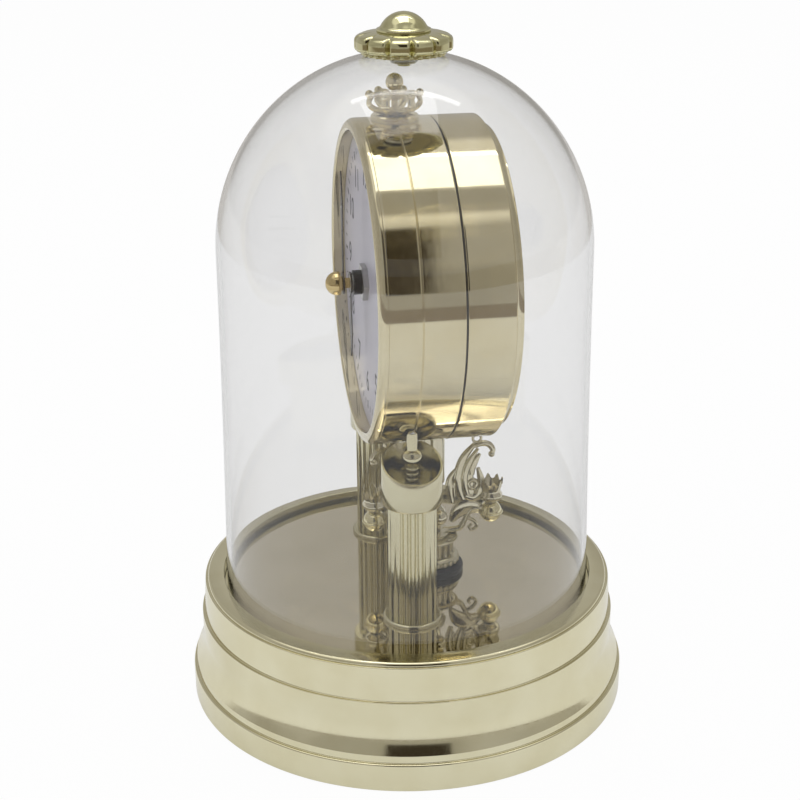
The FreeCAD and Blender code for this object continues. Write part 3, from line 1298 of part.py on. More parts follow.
def crest_scrolls():
    """Open crown of curled ribs round a small hub."""
    height = CREST_TOP_Z - PLINTH_Z
    line = [(CROWN_REACH * out_share, PLINTH_Z + height * rise_share)
            for out_share, rise_share in zip(SCROLL_OUT_SHARES, SCROLL_RISE_SHARES)]
    widths = [SCROLL_HALF_WIDTH * share for share in SCROLL_WIDTH_SHARES]
    ribs = []
    for x, y in around(1, CROWN_SCROLLS, FULL_TURN / CROWN_SCROLLS / 2):
        outward = FreeCAD.Vector(x, y, 0)
        face = ribbon_face(line, widths, Y_AXIS * CREST_Y, outward, Z_AXIS)
        ribs.append(slab(face, outward.cross(Z_AXIS), SCROLL_HALF_THICKNESS))
    hub = post(SPIRE_COLLAR_RADIUS, PLINTH_Z, PLINTH_Z + CROWN_HUB_HEIGHT, 0, CREST_Y)
    below = post(CROWN_REACH, PLINTH_Z - OVERRUN, PLINTH_Z, 0, CREST_Y)
    return solid_of(joined([hub] + ribs).cut([crest_spire(), below]))


def crest_spire():
    bead_z = CREST_TOP_Z - SPIRE_BEAD_RADIUS
    drop = math.sqrt(SPIRE_BEAD_RADIUS ** 2 - SPIRE_RADIUS ** 2)
    chord = math.hypot(SPIRE_RADIUS, drop + SPIRE_BEAD_RADIUS)
    collar_z = bead_z - SPIRE_BEAD_RADIUS - SPIRE_RADIUS
    return turned([
        (0, PLINTH_Z),
        (SPIRE_RADIUS, PLINTH_Z),
        (SPIRE_RADIUS, collar_z - SPIRE_RADIUS),
        (SPIRE_COLLAR_RADIUS, collar_z - SPIRE_RADIUS / 2, -SPIRE_COLLAR_BOW),
        (SPIRE_RADIUS, collar_z, SPIRE_COLLAR_BOW),
        (SPIRE_RADIUS, bead_z - drop),
        (0, CREST_TOP_Z, sphere_bow(SPIRE_BEAD_RADIUS, chord)),
    ], 0, CREST_Y)


# Dome and its finial

def dome():
    low = GROOVE_Z + SEAT_GAP
    outer_bow = DOME_RADIUS * QUARTER_BOW_SHARE
    inner_bow = DOME_INNER_RADIUS * QUARTER_BOW_SHARE
    shell = turned([
        (DOME_INNER_RADIUS, low),
        (DOME_RADIUS, low),
        (DOME_RADIUS, DOME_SPRING_Z),
        (0, DOME_TOP_Z, outer_bow),
        (0, DOME_TOP_Z - DOME_WALL),
        (DOME_INNER_RADIUS, DOME_SPRING_Z, -inner_bow),
    ])
    hole = post(FINIAL_STUD_RADIUS + HOLE_GAP, DOME_TOP_Z - DOME_WALL - OVERRUN, DOME_TOP_Z + OVERRUN)
    return solid_of(shell.cut(hole))


def finial_collar():
    """Round seat between the lobed disc and the curved top of the dome."""
    ring = turned([
        (FINIAL_STUD_RADIUS, DISC_Z - OVERRUN),
        (COLLAR_RADIUS, DISC_Z - OVERRUN),
        (COLLAR_RADIUS, DISC_Z),
        (FINIAL_STUD_RADIUS, DISC_Z),
    ])
    glass = Part.makeSphere(DOME_RADIUS + SEAT_GAP, FreeCAD.Vector(0, 0, DOME_SPRING_Z))
    return solid_of(ring.cut(glass))


def finial_disc():
    face = notched_face(DISC_RADIUS, DISC_LOBES, DISC_NOTCH_SHARE, DISC_NOTCH,
                        FreeCAD.Vector(0, 0, DISC_Z), X_AXIS, Y_AXIS)
    lobes = solid_of(face.extrude(Z_AXIS * DISC_HEIGHT))
    rounded = turned([
        (FINIAL_STUD_RADIUS, DISC_Z),
        (DISC_RADIUS - DISC_EDGE, DISC_Z),
        (DISC_RADIUS, DISC_Z + DISC_EDGE, DISC_EDGE * QUARTER_BOW_SHARE),
        (DISC_RADIUS, HUB_STEP_Z - DISC_CROWN_DROP),
        (HUB_STEP_RADIUS, HUB_STEP_Z, DISC_CROWN_DROP * SOFT_BOW_SHARE),
        (FINIAL_STUD_RADIUS, HUB_STEP_Z),
    ])
    return solid_of(lobes.common(rounded))


def finial_button():
    """Stepped hub and rounded button on the stud that goes down through the dome."""
    stud_low = NUT_TOP_Z - FINIAL_NUT_HEIGHT - STUD_PAST_NUT
    edge = HUB_STEP_ROUND
    return turned([
        (0, stud_low),
        (FINIAL_STUD_RADIUS, stud_low),
        (FINIAL_STUD_RADIUS, HUB_STEP_Z),
        (HUB_STEP_RADIUS, HUB_STEP_Z),
        (HUB_STEP_RADIUS, BUTTON_Z - edge),
        (HUB_STEP_RADIUS - edge, BUTTON_Z, edge * QUARTER_BOW_SHARE),
        (BUTTON_RADIUS, BUTTON_Z),
        (BUTTON_RADIUS, BUTTON_Z + BUTTON_NECK),
        (0, BUTTON_Z + BUTTON_NECK + BUTTON_CAP_HEIGHT, cap_bow(BUTTON_RADIUS, BUTTON_CAP_HEIGHT)),
    ])


def finial_nut():
    """Round nut with a spherical top that clamps the finial from inside the dome."""
    low = NUT_TOP_Z - FINIAL_NUT_HEIGHT
    nut = turned([
        (FINIAL_STUD_RADIUS, low),
        (FINIAL_NUT_RADIUS - FINIAL_NUT_EDGE, low),
        (FINIAL_NUT_RADIUS, low + FINIAL_NUT_EDGE),
        (FINIAL_NUT_RADIUS, NUT_TOP_Z),
        (FINIAL_STUD_RADIUS, NUT_TOP_Z),
    ])
    space = Part.makeSphere(DOME_INNER_RADIUS - SEAT_GAP, FreeCAD.Vector(0, 0, DOME_SPRING_Z))
    return solid_of(nut.common(space))


def mirrored(shape):
    return shape.mirror(ORIGIN, X_AXIS)


def all_parts():
    parts = {
        "base_shell": base_shell(),
        "base_plate": base_plate(),
        "base_screws": base_screws(),
        "base_pads": base_pads(),
        "floor_plate": floor_plate(),
        "tie_rods": tie_rods(),
        "rod_nuts": rod_nuts(),
        "drum_body": drum_body(),
        "bezel_ring": bezel_ring(),
        "seam_band": seam_band(),
        "rear_shell": rear_shell(),
        "dial_plate": dial_plate(),
        "movement_case": movement_case(),
        "movement_cover": movement_cover(),
        "bushing_nut": bushing_nut(),
        "circuit_board": circuit_board(),
        "movement_coil": movement_coil(),
        "battery": battery(),
        "battery_contacts": battery_contacts(),
        "minute_arbor": minute_arbor(),
        "hour_wheel": hour_wheel(),
        "minute_wheel": minute_wheel(),
        "setting_knob": setting_knob(),
        "hour_hand": hour_hand(),
        "minute_hand": minute_hand(),
        "hand_nut": hand_nut(),
        "drive_case": drive_case(),
        "drive_cover": drive_cover(),
        "drive_magnet": drive_magnet(),
        "drive_shaft": drive_shaft(),
        "drive_coils": drive_coils(),
        "guide_cup": guide_cup(),
        "bead_ring": bead_ring(),
        "lantern": lantern(),
        "pendulum_stem": pendulum_stem(),
        "pendulum_arms": pendulum_arms(),
        "crest_plinth": crest_plinth(),
        "crest_scrolls": crest_scrolls(),
        "crest_spire": crest_spire(),
        "dome": dome(),
        "finial_collar": finial_collar(),
        "finial_disc": finial_disc(),
        "finial_button": finial_button(),
        "finial_nut": finial_nut(),
    }
    column_parts = {
        "foot_ring": foot_ring(),
        "column": column_shaft(),
        "capital": capital(),
        "spindle": spindle(),
    }
    for name, right in column_parts.items():
        parts[name + "_right"] = right
        parts[name + "_left"] = mirrored(right)
    for name, side in (("front", -1), ("rear", 1)):
        parts["ball_" + name] = pendulum_ball(side)
        parts["crown_" + name] = pendulum_crown(side)
        parts["leaf_" + name] = pendulum_leaf(side)
    return parts


os.makedirs("parts", exist_ok=True)
for node, shape in all_parts().items():
    if not shape.isValid():
        raise RuntimeError("not a valid shape: " + node)
    shape.exportStep("parts/" + node + ".step")
    print(node, len(shape.Solids), round(shape.Volume, 1))
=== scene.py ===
from math import atan2, ceil, cos, hypot, pi, radians, sin, sqrt, tan

import bmesh
import bpy
from mathutils import Matrix, Vector


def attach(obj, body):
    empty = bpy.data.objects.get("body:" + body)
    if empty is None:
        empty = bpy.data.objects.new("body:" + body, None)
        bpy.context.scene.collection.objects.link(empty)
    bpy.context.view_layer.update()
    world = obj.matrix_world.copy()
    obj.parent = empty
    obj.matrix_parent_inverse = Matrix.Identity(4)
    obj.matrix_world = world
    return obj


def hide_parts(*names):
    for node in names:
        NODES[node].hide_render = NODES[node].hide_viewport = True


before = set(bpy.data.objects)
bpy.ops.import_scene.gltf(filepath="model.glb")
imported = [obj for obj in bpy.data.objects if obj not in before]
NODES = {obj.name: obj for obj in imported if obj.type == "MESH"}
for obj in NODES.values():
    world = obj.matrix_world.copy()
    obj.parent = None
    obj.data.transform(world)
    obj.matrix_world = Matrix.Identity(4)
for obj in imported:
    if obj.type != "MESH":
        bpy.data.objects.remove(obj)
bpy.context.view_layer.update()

# Sizes are in metres, heights from the table, and the dial faces -Y
MM = 0.001
TURN = 2 * pi
UP = Vector((0, 0, 1))
ORIGIN = (0, 0, 0)

# Fineness of turned surfaces and arcs
FINE = 256
MEDIUM = 96
COARSE = 48
ARC_STEP = radians(7)
SHARP_ANGLE = radians(40)

# Rounded corners, which straight lines and sharp tips don't get
LEAST_CORNER = radians(18)
MOST_CORNER = radians(170)
CORNER_STEPS = 4
CORNER_SHARE = 0.4
CRISP = 0.1 * MM
TIGHT = 0.12 * MM
KEEN = 0.15 * MM
EASED = 0.2 * MM
EDGE_ROUND = 0.25 * MM
SOFT = 0.3 * MM

# Smallest gap, and the walls that get a point at this distance from each end
SKIN = 0.02 * MM
LONG_WALL = 2.5 * MM
SUPPORT = 0.3 * MM

BASE_RADIUS = 75.4 * MM
FLOOR_Z = 40.1 * MM
FLOOR_THICKNESS = 1.2 * MM
RIM_Z = 43.2 * MM
DOME_RADIUS = 62.5 * MM
DOME_WALL = 1.5 * MM
DOME_TOP = 220.0 * MM
DOME_DRAFT = 1.5 * MM
DOME_SPRING = DOME_TOP - DOME_RADIUS

COLUMN_X = 33.4 * MM
COLUMN_Y = -4.2 * MM
DRUM_RADIUS = 52.8 * MM
DRUM_INSIDE = DRUM_RADIUS - 1.5 * MM
DRUM_FIT = DRUM_INSIDE - 0.1 * MM
DRUM_Z = 146.0 * MM
DRUM_MIDDLE = (0, 0, DRUM_Z)
DRUM_FRONT = -17.2 * MM
DRUM_REAR = 27.0 * MM
DIAL_FRONT = -12.8 * MM


# Meshes

def placed(name, data):
    obj = bpy.data.objects.new(name, data)
    bpy.context.scene.collection.objects.link(obj)
    return obj


def finish_mesh(name, vertices, faces, body, material, replaced=(), smooth=True):
    mesh = bpy.data.meshes.new(name)
    mesh.from_pydata([tuple(v) for v in vertices], [], faces)
    mesh.validate()
    obj = placed(name, mesh)
    if smooth:
        mesh.shade_smooth()
        mesh.set_sharp_from_angle(angle=SHARP_ANGLE)
    mesh.materials.append(material)
    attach(obj, body)
    if replaced:
        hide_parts(*replaced)
    return obj


def arc_points(start, end, bow):
    """Points of an arc that bulges by bow to the right of the way from start to end."""
    run = hypot(end[0] - start[0], end[1] - start[1])
    if run < SKIN or abs(bow) < SKIN / 2:
        return [end]
    radius = (run * run / 4 + bow * bow) / (2 * abs(bow))
    side = 1 if bow > 0 else -1
    right = ((end[1] - start[1]) / run * side, -(end[0] - start[0]) / run * side)
    depth = abs(bow) - radius
    centre = ((start[0] + end[0]) / 2 + right[0] * depth, (start[1] + end[1]) / 2 + right[1] * depth)
    first = atan2(start[1] - centre[1], start[0] - centre[0])
    last = atan2(end[1] - centre[1], end[0] - centre[0])
    span = side * ((last - first) * side % TURN)
    count = max(2, ceil(abs(span) / ARC_STEP))
    points = []
    for i in range(1, count):
        angle = first + span * i / count
        points.append((centre[0] + radius * cos(angle), centre[1] + radius * sin(angle)))
    return points + [end]


def outline(steps, rounding=EDGE_ROUND):
    """Points of a closed outline with its corners rounded. A step is (a, b) or (a, b, bow)."""
    points = [steps[0][:2]]
    for step in steps[1:]:
        bow = step[2] if len(step) == 3 else 0
        points += arc_points(points[-1], step[:2], bow)
    return rounded(points, rounding)


def rounded(points, rounding):
    result = []
    count = len(points)
    for i, here in enumerate(points):
        before = points[i - 1]
        after = points[(i + 1) % count]
        back = Vector((before[0] - here[0], before[1] - here[1]))
        ahead = Vector((after[0] - here[0], after[1] - here[1]))
        if here[0] < SKIN or back.length < SKIN or ahead.length < SKIN:
            result.append(here)
            continue
        turn = pi - back.angle(ahead)
        if turn < LEAST_CORNER or turn > MOST_CORNER:
            result.append(here)
            continue
        cut = min(rounding * tan(turn / 2), back.length * CORNER_SHARE, ahead.length * CORNER_SHARE)
        start = Vector(here) + back.normalized() * cut
        end = Vector(here) + ahead.normalized() * cut
        for j in range(CORNER_STEPS + 1):
            t = j / CORNER_STEPS
            p = start * (1 - t) ** 2 + Vector(here) * 2 * t * (1 - t) + end * t ** 2
            result.append((p.x, p.y))
    return result


def arc_bow(radius, chord):
    """How far an arc stands out from its chord."""
    return radius - sqrt(radius ** 2 - chord ** 2 / 4)


def cap_bow(rim, height):
    """The same for the side of a round cap, from its rim to its top."""
    return arc_bow((rim ** 2 + height ** 2) / (2 * height), hypot(rim, height))


def supported(points):
    """Adds points near the ends of long straight walls, so that rounded corners don't bend their shading."""
    result = []
    for here, after in zip(points, points[1:] + points[:1]):
        result.append(here)
        run = (after[0] - here[0], after[1] - here[1])
        length = hypot(*run)
        if length > LONG_WALL:
            for share in (SUPPORT / length, 1 - SUPPORT / length):
                result.append((here[0] + run[0] * share, here[1] + run[1] * share))
    return result


def angles(count):
    return [TURN * i / count for i in range(count)]


def lathe(name, points, place, axis, body, material, replaced=(), segments=FINE):
    """Closed outline of (radius, height) points, turned about a line through place along axis "Z" or "Y"."""
    rings = []
    vertices = []
    for radius, height in supported(points):
        at_axis = radius < SKIN / 10
        start = len(vertices)
        for angle in angles(segments)[:1 if at_axis else segments]:
            a = radius * cos(angle)
            b = radius * sin(angle)
            if axis == "Z":
                vertices.append((place[0] + a, place[1] + b, height))
            else:
                vertices.append((place[0] + a, height, place[2] - b))
        rings.append(range(start, len(vertices)))
    faces = []
    for low, high in zip(rings, rings[1:] + rings[:1]):
        if len(low) == 1 and len(high) == 1:
            continue
        for i in range(segments):
            j = (i + 1) % segments
            if len(low) == 1:
                faces.append((low[0], high[j], high[i]))
            elif len(high) == 1:
                faces.append((low[i], low[j], high[0]))
            else:
                faces.append((low[i], low[j], high[j], high[i]))
    return finish_mesh(name, vertices, faces, body, material, replaced)


def band(low, high, count):
    """Faces between two rings of points, given the number of each ring's first point."""
    faces = []
    for i in range(count):
        j = (i + 1) % count
        faces.append((low + i, low + j, high + j, high + i))
    return faces


def stacked(rings, caps=True):
    """Vertices and faces of a body made of rings of points, all with the same count."""
    vertices = [v for ring in rings for v in ring]
    count = len(rings[0])
    last = len(vertices) - count
    faces = []
    for low in range(0, last, count):
        faces += band(low, low + count, count)
    if caps:
        faces.append(tuple(reversed(range(count))))
        faces.append(tuple(range(last, last + count)))
    return vertices, faces


def wavy_ring(centre, point_at, count, per_wave):
    """Level ring of equal waves. point_at gives the radius and the height at a share of a wave."""
    ring = []
    for i, angle in enumerate(angles(count * per_wave)):
        radius, height = point_at(i % per_wave / per_wave)
        ring.append((centre[0] + radius * cos(angle), centre[1] + radius * sin(angle), height))
    return ring


def tipped(start, rings, end):
    """Vertices and faces of a body of rings between two single points."""
    vertices, faces = stacked(rings, caps=False)
    count = len(rings[0])
    tip = len(vertices)
    for i in range(count):
        j = (i + 1) % count
        faces.append((tip, j, i))
        faces.append((tip - count + i, tip - count + j, tip + 1))
    return vertices + [start, end], faces


def merged(pieces):
    vertices = []
    faces = []
    for some_vertices, some_faces in pieces:
        start = len(vertices)
        vertices += some_vertices
        faces += [tuple(start + i for i in face) for face in some_faces]
    return vertices, faces


def ball_mesh(centre, radius, segments=32, levels=16):
    rings = []
    for level in range(1, levels):
        tilt = pi * (level / levels - 0.5)
        middle = centre + UP * radius * sin(tilt)
        rings.append([middle + out * radius * cos(tilt) for out in spokes(segments)])
    return tipped(centre - UP * radius, rings, centre + UP * radius)


def spokes(count, start=0.0):
    """Level unit vectors, spread evenly round the vertical."""
    for i in range(count):
        angle = TURN * (i + start) / count
        yield Vector((cos(angle), sin(angle), 0))


def bead_row(count, centre, orbit, radius, segments, levels):
    """Balls in a level circle."""
    return merged([ball_mesh(centre + out * orbit, radius, segments, levels) for out in spokes(count)])


def smooth_line(points, per_step=8):
    """Many points on a smooth line through the given ones."""
    line = []
    for i in range(len(points) - 1):
        p0 = points[max(i - 1, 0)]
        p1 = points[i]
        p2 = points[i + 1]
        p3 = points[min(i + 2, len(points) - 1)]
        for j in range(per_step):
            t = j / per_step
            line.append(tuple(0.5 * (2 * b + (c - a) * t + (2 * a - 5 * b + 4 * c - d) * t * t
                                     + (3 * b - a - 3 * c + d) * t ** 3)
                              for a, b, c, d in zip(p0, p1, p2, p3)))
    line.append(tuple(points[-1]))
    return line


def sweep(path, half_widths, half_depths, normal, sides=12):
    """Rounded strip along a path in a plane: wide in the plane and deep along its normal."""
    rings = []
    for i, p in enumerate(path):
        run = path[min(i + 1, len(path) - 1)] - path[max(i - 1, 0)]
        wide = normal.cross(run).normalized() * half_widths[i]
        deep = normal * half_depths[i]
        rings.append([p + wide * cos(angle) + deep * sin(angle) for angle in angles(sides)])
    return tipped(path[0], rings, path[-1])


def in_metres(rows):
    """Rows of millimetres as rows of metres."""
    return [tuple(value * MM for value in row) for row in rows]


def scroll(rows, origin, across):
    """Upright strip. A row has the way across, the height, half the width and half the depth."""
    rows = smooth_line(rows)
    path = [origin + across * r[0] + UP * r[1] for r in rows]
    return sweep(path, [max(r[2], SKIN) for r in rows], [max(r[3], SKIN) for r in rows], across.cross(UP))


def ring_mesh(centre, radius, thickness, across):
    """Upright ring of round wire."""
    sides = 10
    deep = across.cross(UP) * thickness
    vertices = []
    for angle in angles(32):
        out = across * cos(angle) + UP * sin(angle)
        for turn in angles(sides):
            vertices.append(centre + out * (radius + thickness * cos(turn)) + deep * sin(turn))
    faces = []
    for low in range(0, len(vertices), sides):
        faces += band((low + sides) % len(vertices), low, sides)
    return vertices, faces


def close_doubles(obj):
    """Joins the points that lie on one spot, such as the middle of a flat end."""
    mesh = bmesh.new()
    mesh.from_mesh(obj.data)
    bmesh.ops.remove_doubles(mesh, verts=mesh.verts, dist=SKIN / 4)
    bmesh.ops.recalc_face_normals(mesh, faces=mesh.faces)
    mesh.to_mesh(obj.data)
    mesh.free()
    obj.data.shade_smooth()
    obj.data.set_sharp_from_angle(angle=SHARP_ANGLE)


# Materials

def feed(tree, node, inputs):
    """Sets a node's inputs, or links them to other nodes' outputs. Plain colours have three values."""
    for name, value in inputs.items():
        socket = node.inputs[name]
        if isinstance(value, bpy.types.NodeSocket):
            tree.links.new(value, socket)
        elif socket.type == "RGBA":
            socket.default_value = (*value, 1)
        else:
            socket.default_value = value


def added(tree, kind, output, inputs=None, **settings):
    """Adds a node with its inputs and gives back one of its outputs."""
    node = tree.nodes.new("ShaderNode" + kind)
    for name, value in settings.items():
        setattr(node, name, value)
    feed(tree, node, inputs or {})
    return node.outputs[output]


def noise(tree, scale, detail=3.0, stretch=(1, 1, 1)):
    """Noise in the object's own space, with a scale in cycles per metre."""
    place = added(tree, "TexCoord", "Object")
    mapped = added(tree, "Mapping", "Vector", {"Vector": place, "Scale": stretch})
    return added(tree, "TexNoise", "Fac", {"Vector": mapped, "Scale": scale, "Detail": detail})


def ramped(tree, value, start, end, low=0.0, high=1.0, shape="SMOOTHSTEP"):
    """Takes a value between start and end to one between low and high."""
    spans = {"Value": value, "From Min": start, "From Max": end, "To Min": low, "To Max": high}
    return added(tree, "MapRange", "Result", spans, interpolation_type=shape)


def spread(tree, value, low, high):
    """The same for the middle of a noise, which seldom reaches 0 or 1."""
    return ramped(tree, value, 0.3, 0.7, low, high, "LINEAR")


def mixed(tree, factor, first, second):
    """Blend of two colours, each a plain one or what another node gives."""
    return added(tree, "Mix", "Result", {"Factor": factor, "A": first, "B": second}, data_type="RGBA")


def mixed_shaders(tree, factor, first, second):
    return added(tree, "MixShader", "Shader", {"Fac": factor, 1: first, 2: second})


def bump(tree, height, strength):
    return added(tree, "Bump", "Normal", {"Height": height, "Strength": strength, "Distance": SKIN})


def new_material(name):
    material = bpy.data.materials.new(name)
    material.use_nodes = True
    return material, material.node_tree, material.node_tree.nodes["Principled BSDF"]


def plated(name, bright, deep, rough_low, rough_high, wave=0.3):
    """Polished plating: slow colour drift, fine rubbing marks and a faint waviness."""
    drift_scale = 60.0
    rub_scale = 900.0
    rub_stretch = (1, 1, 0.25)
    wave_scale = 180.0
    material, tree, shader = new_material(name)
    drift = spread(tree, noise(tree, drift_scale), 0.0, 1.0)
    feed(tree, shader, {
        "Metallic": 1.0,
        "Base Color": mixed(tree, drift, bright, deep),
        "Roughness": spread(tree, noise(tree, rub_scale, 6.0, rub_stretch), rough_low, rough_high),
        "Normal": bump(tree, noise(tree, wave_scale, 1.0), wave),
    })
    return material


def painted(name, first, second, rough_low, rough_high, scale=300.0, metal=0.0, grain=0.15):
    """Paint, plastic or dull metal: fine specks of two colours with a grain that stands out a little."""
    grain_scale = scale * 6
    material, tree, shader = new_material(name)
    speck = noise(tree, scale, 5.0)
    feed(tree, shader, {
        "Metallic": metal,
        "Base Color": mixed(tree, speck, first, second),
        "Roughness": spread(tree, speck, rough_low, rough_high),
        "Normal": bump(tree, noise(tree, grain_scale, 2.0), grain),
    })
    return material


def clear_material(name):
    """Clear dome: a smooth clear wall that lets the lamps' light through."""
    material, tree, shader = new_material(name)
    feed(tree, shader, {
        "Base Color": (0.905, 0.905, 0.905), "Transmission Weight": 1.0, "IOR": 1.46,
        "Roughness": spread(tree, noise(tree, 25.0), 0.0, 0.02),
    })
    shadow = added(tree, "LightPath", "Is Shadow Ray")
    through = added(tree, "BsdfTransparent", "BSDF")
    whole = mixed_shaders(tree, shadow, shader.outputs["BSDF"], through)
    feed(tree, tree.nodes["Material Output"], {"Surface": whole})
    return material


BASE_GOLD = plated("base_gold", (0.80, 0.76, 0.55), (0.74, 0.69, 0.47), 0.09, 0.15)
DRUM_GOLD = plated("drum_gold", (0.83, 0.76, 0.54), (0.77, 0.69, 0.46), 0.04, 0.08)
COLUMN_GOLD = plated("column_gold", (0.77, 0.73, 0.52), (0.70, 0.65, 0.44), 0.09, 0.16)
PENDULUM_GOLD = plated("pendulum_gold", (0.74, 0.70, 0.54), (0.65, 0.60, 0.43), 0.06, 0.12)
BALL_GOLD = plated("ball_gold", (0.90, 0.84, 0.56), (0.84, 0.77, 0.48), 0.05, 0.10)
FINIAL_GOLD = plated("finial_gold", (0.70, 0.67, 0.42), (0.60, 0.57, 0.31), 0.05, 0.11)
FLOOR_GOLD = plated("floor_gold", (0.82, 0.76, 0.60), (0.77, 0.71, 0.55), 0.03, 0.06, 0.05)
NUT_BRASS = plated("nut_brass", (0.84, 0.68, 0.36), (0.76, 0.60, 0.30), 0.10, 0.18)
DIAL_PAINT = painted("dial_paint", (0.62, 0.60, 0.70), (0.68, 0.66, 0.74), 0.30, 0.42)
FIGURE_INK = painted("figure_ink", (0.06, 0.06, 0.08), (0.09, 0.09, 0.11), 0.40, 0.55)
HAND_PAINT = painted("hand_paint", (0.05, 0.045, 0.04), (0.08, 0.07, 0.06), 0.25, 0.40)
DARK_BAND = painted("dark_band", (0.03, 0.026, 0.02), (0.06, 0.05, 0.04), 0.25, 0.45)
BLACK_PLASTIC = painted("black_plastic", (0.012, 0.012, 0.013), (0.02, 0.02, 0.022), 0.32, 0.48)
WHITE_PLASTIC = painted("white_plastic", (0.78, 0.78, 0.74), (0.72, 0.72, 0.68), 0.35, 0.50)
BOARD = painted("board", (0.36, 0.22, 0.08), (0.30, 0.18, 0.06), 0.45, 0.60)
COPPER = painted("copper", (0.60, 0.26, 0.12), (0.50, 0.20, 0.09), 0.25, 0.40, 1200.0, 1.0, 0.6)
CELL_WRAP = painted("cell_wrap", (0.10, 0.11, 0.13), (0.14, 0.15, 0.17), 0.25, 0.35, 200.0, 0.4)
ZINC = painted("zinc", (0.62, 0.62, 0.62), (0.50, 0.50, 0.50), 0.25, 0.40, 800.0, 1.0)
MAGNET = painted("magnet", (0.08, 0.08, 0.085), (0.12, 0.12, 0.125), 0.40, 0.60, 800.0, 0.6)
RUBBER = painted("rubber", (0.02, 0.02, 0.02), (0.035, 0.035, 0.035), 0.65, 0.85, 1500.0, 0.0, 0.5)
CLEAR = clear_material("clear_dome")

# Materials of the nodes that keep their own shape
CAD_MATERIALS = [
    (BLACK_PLASTIC, ["base_plate", "movement_case", "movement_cover", "setting_knob", "drive_case",
                     "drive_cover"]),
    (ZINC, ["base_screws", "tie_rods", "rod_nuts", "bushing_nut", "battery_contacts", "drive_shaft",
            "finial_nut"]),
    (COPPER, ["movement_coil", "drive_coils"]), (WHITE_PLASTIC, ["hour_wheel", "minute_wheel"]),
    (RUBBER, ["base_pads"]), (BOARD, ["circuit_board"]), (CELL_WRAP, ["battery"]),
    (NUT_BRASS, ["minute_arbor"]), (MAGNET, ["drive_magnet"]), (DRUM_GOLD, ["crest_plinth"]),
]


def dress_cad_nodes():
    for material, names in CAD_MATERIALS:
        for name in names:
            materials = NODES[name].data.materials
            materials.clear()
            materials.append(material)


# Base

def base_shell():
    """Foot flange, cove and two bands outside, with the dome's groove and the floor inside them."""
    foot_low = 0.2 * MM
    foot_edge = 0.4 * MM
    flange_top = 9.8 * MM
    flange_edge = 0.6 * MM
    flange_bow = 0.17 * MM
    slight_bow = 0.1 * MM
    cove = BASE_RADIUS - 1.1 * MM
    cove_low = 12.4 * MM
    cove_high = 21.2 * MM
    cove_bow = -0.5 * MM
    lower_band = BASE_RADIUS - 3.9 * MM
    upper_band = BASE_RADIUS - 4.8 * MM
    upper_low = 29.9 * MM
    upper_lean = 0.6 * MM
    shoulder = BASE_RADIUS - 6.2 * MM
    shoulder_z = RIM_Z - 1.7 * MM
    rim = BASE_RADIUS - 7.3 * MM
    rim_edge = RIM_Z - 0.4 * MM
    rim_bow = 0.35 * MM
    groove_outer = DOME_RADIUS + 1.0 * MM
    groove_inner = DOME_RADIUS - DOME_WALL - 0.1 * MM
    groove_low = RIM_Z - 4.6 * MM
    floor_low = FLOOR_Z - FLOOR_THICKNESS
    shelf_low = floor_low - 2.0 * MM
    inside = BASE_RADIUS - 8.9 * MM
    recess = BASE_RADIUS - 2.4 * MM
    recess_top = 2.9 * MM
    steps = [
        (BASE_RADIUS - foot_edge, foot_low), (BASE_RADIUS, foot_low + foot_edge, slight_bow),
        (BASE_RADIUS, flange_top - flange_edge), (BASE_RADIUS - flange_edge, flange_top, flange_bow),
        (cove, flange_top), (cove, cove_low), (lower_band, cove_high, cove_bow),
        (lower_band, upper_low), (upper_band, upper_low), (upper_band - upper_lean, shoulder_z, slight_bow),
        (shoulder, shoulder_z), (rim, rim_edge, rim_bow), (groove_outer, RIM_Z, slight_bow),
        (groove_outer, groove_low), (groove_inner, groove_low), (groove_inner, floor_low), (0, floor_low),
        (0, shelf_low), (inside, shelf_low), (inside, recess_top), (recess, recess_top), (recess, foot_low),
    ]
    lathe("base_ring", outline(steps), ORIGIN, "Z", "clock", BASE_GOLD, ["base_shell"])
    floor = outline([(0, floor_low), (groove_inner, floor_low), (groove_inner, FLOOR_Z), (0, FLOOR_Z)])
    lathe("floor_mirror", floor, ORIGIN, "Z", "clock", FLOOR_GOLD, ["floor_plate"])


# Columns

SHAFT_LOW = FLOOR_Z + 1.4 * MM
SHAFT_TOP = 81.7 * MM


def fluted_ring(x, height):
    """One level of the shaft: round hollows with narrow crests between them."""
    radius = 7.9 * MM
    depth = 0.95 * MM
    crest_share = 0.22

    def point_at(phase):
        across = min(abs(phase - 0.5) / (0.5 * (1 - crest_share)), 1)
        return radius - depth * sqrt(1 - across * across), height

    return wavy_ring((x, COLUMN_Y), point_at, count=20, per_wave=12)


def column(side):
    name = "right" if side > 0 else "left"
    x = side * COLUMN_X
    end = 0.3 * MM
    heights = (SHAFT_LOW, SHAFT_LOW + end, SHAFT_TOP - end, SHAFT_TOP)
    shaft = stacked([fluted_ring(x, height) for height in heights])
    finish_mesh("fluted_shaft_" + name, *shaft, "clock", COLUMN_GOLD, ["column_" + name])
    foot_ring(name, x)
    capital(side, name, x)
    spindle(name, x)


def foot_ring(name, x):
    low = FLOOR_Z + SKIN
    bore = 1.6 * MM
    radius = 9.6 * MM
    top_radius = 8.6 * MM
    edge_z = FLOOR_Z + 0.7 * MM
    edge_bow = 0.35 * MM
    steps = outline([
        (bore, low), (radius, low), (radius, edge_z), (top_radius, SHAFT_LOW, edge_bow), (bore, SHAFT_LOW),
    ])
    lathe("foot_" + name, steps, (x, COLUMN_Y, 0), "Z", "clock", COLUMN_GOLD, ["foot_ring_" + name], MEDIUM)


def under_drum(x):
    """Height just below the drum at a distance from the clock's middle."""
    reach = DRUM_RADIUS + 0.1 * MM
    return DRUM_Z - sqrt(reach * reach - x * x)


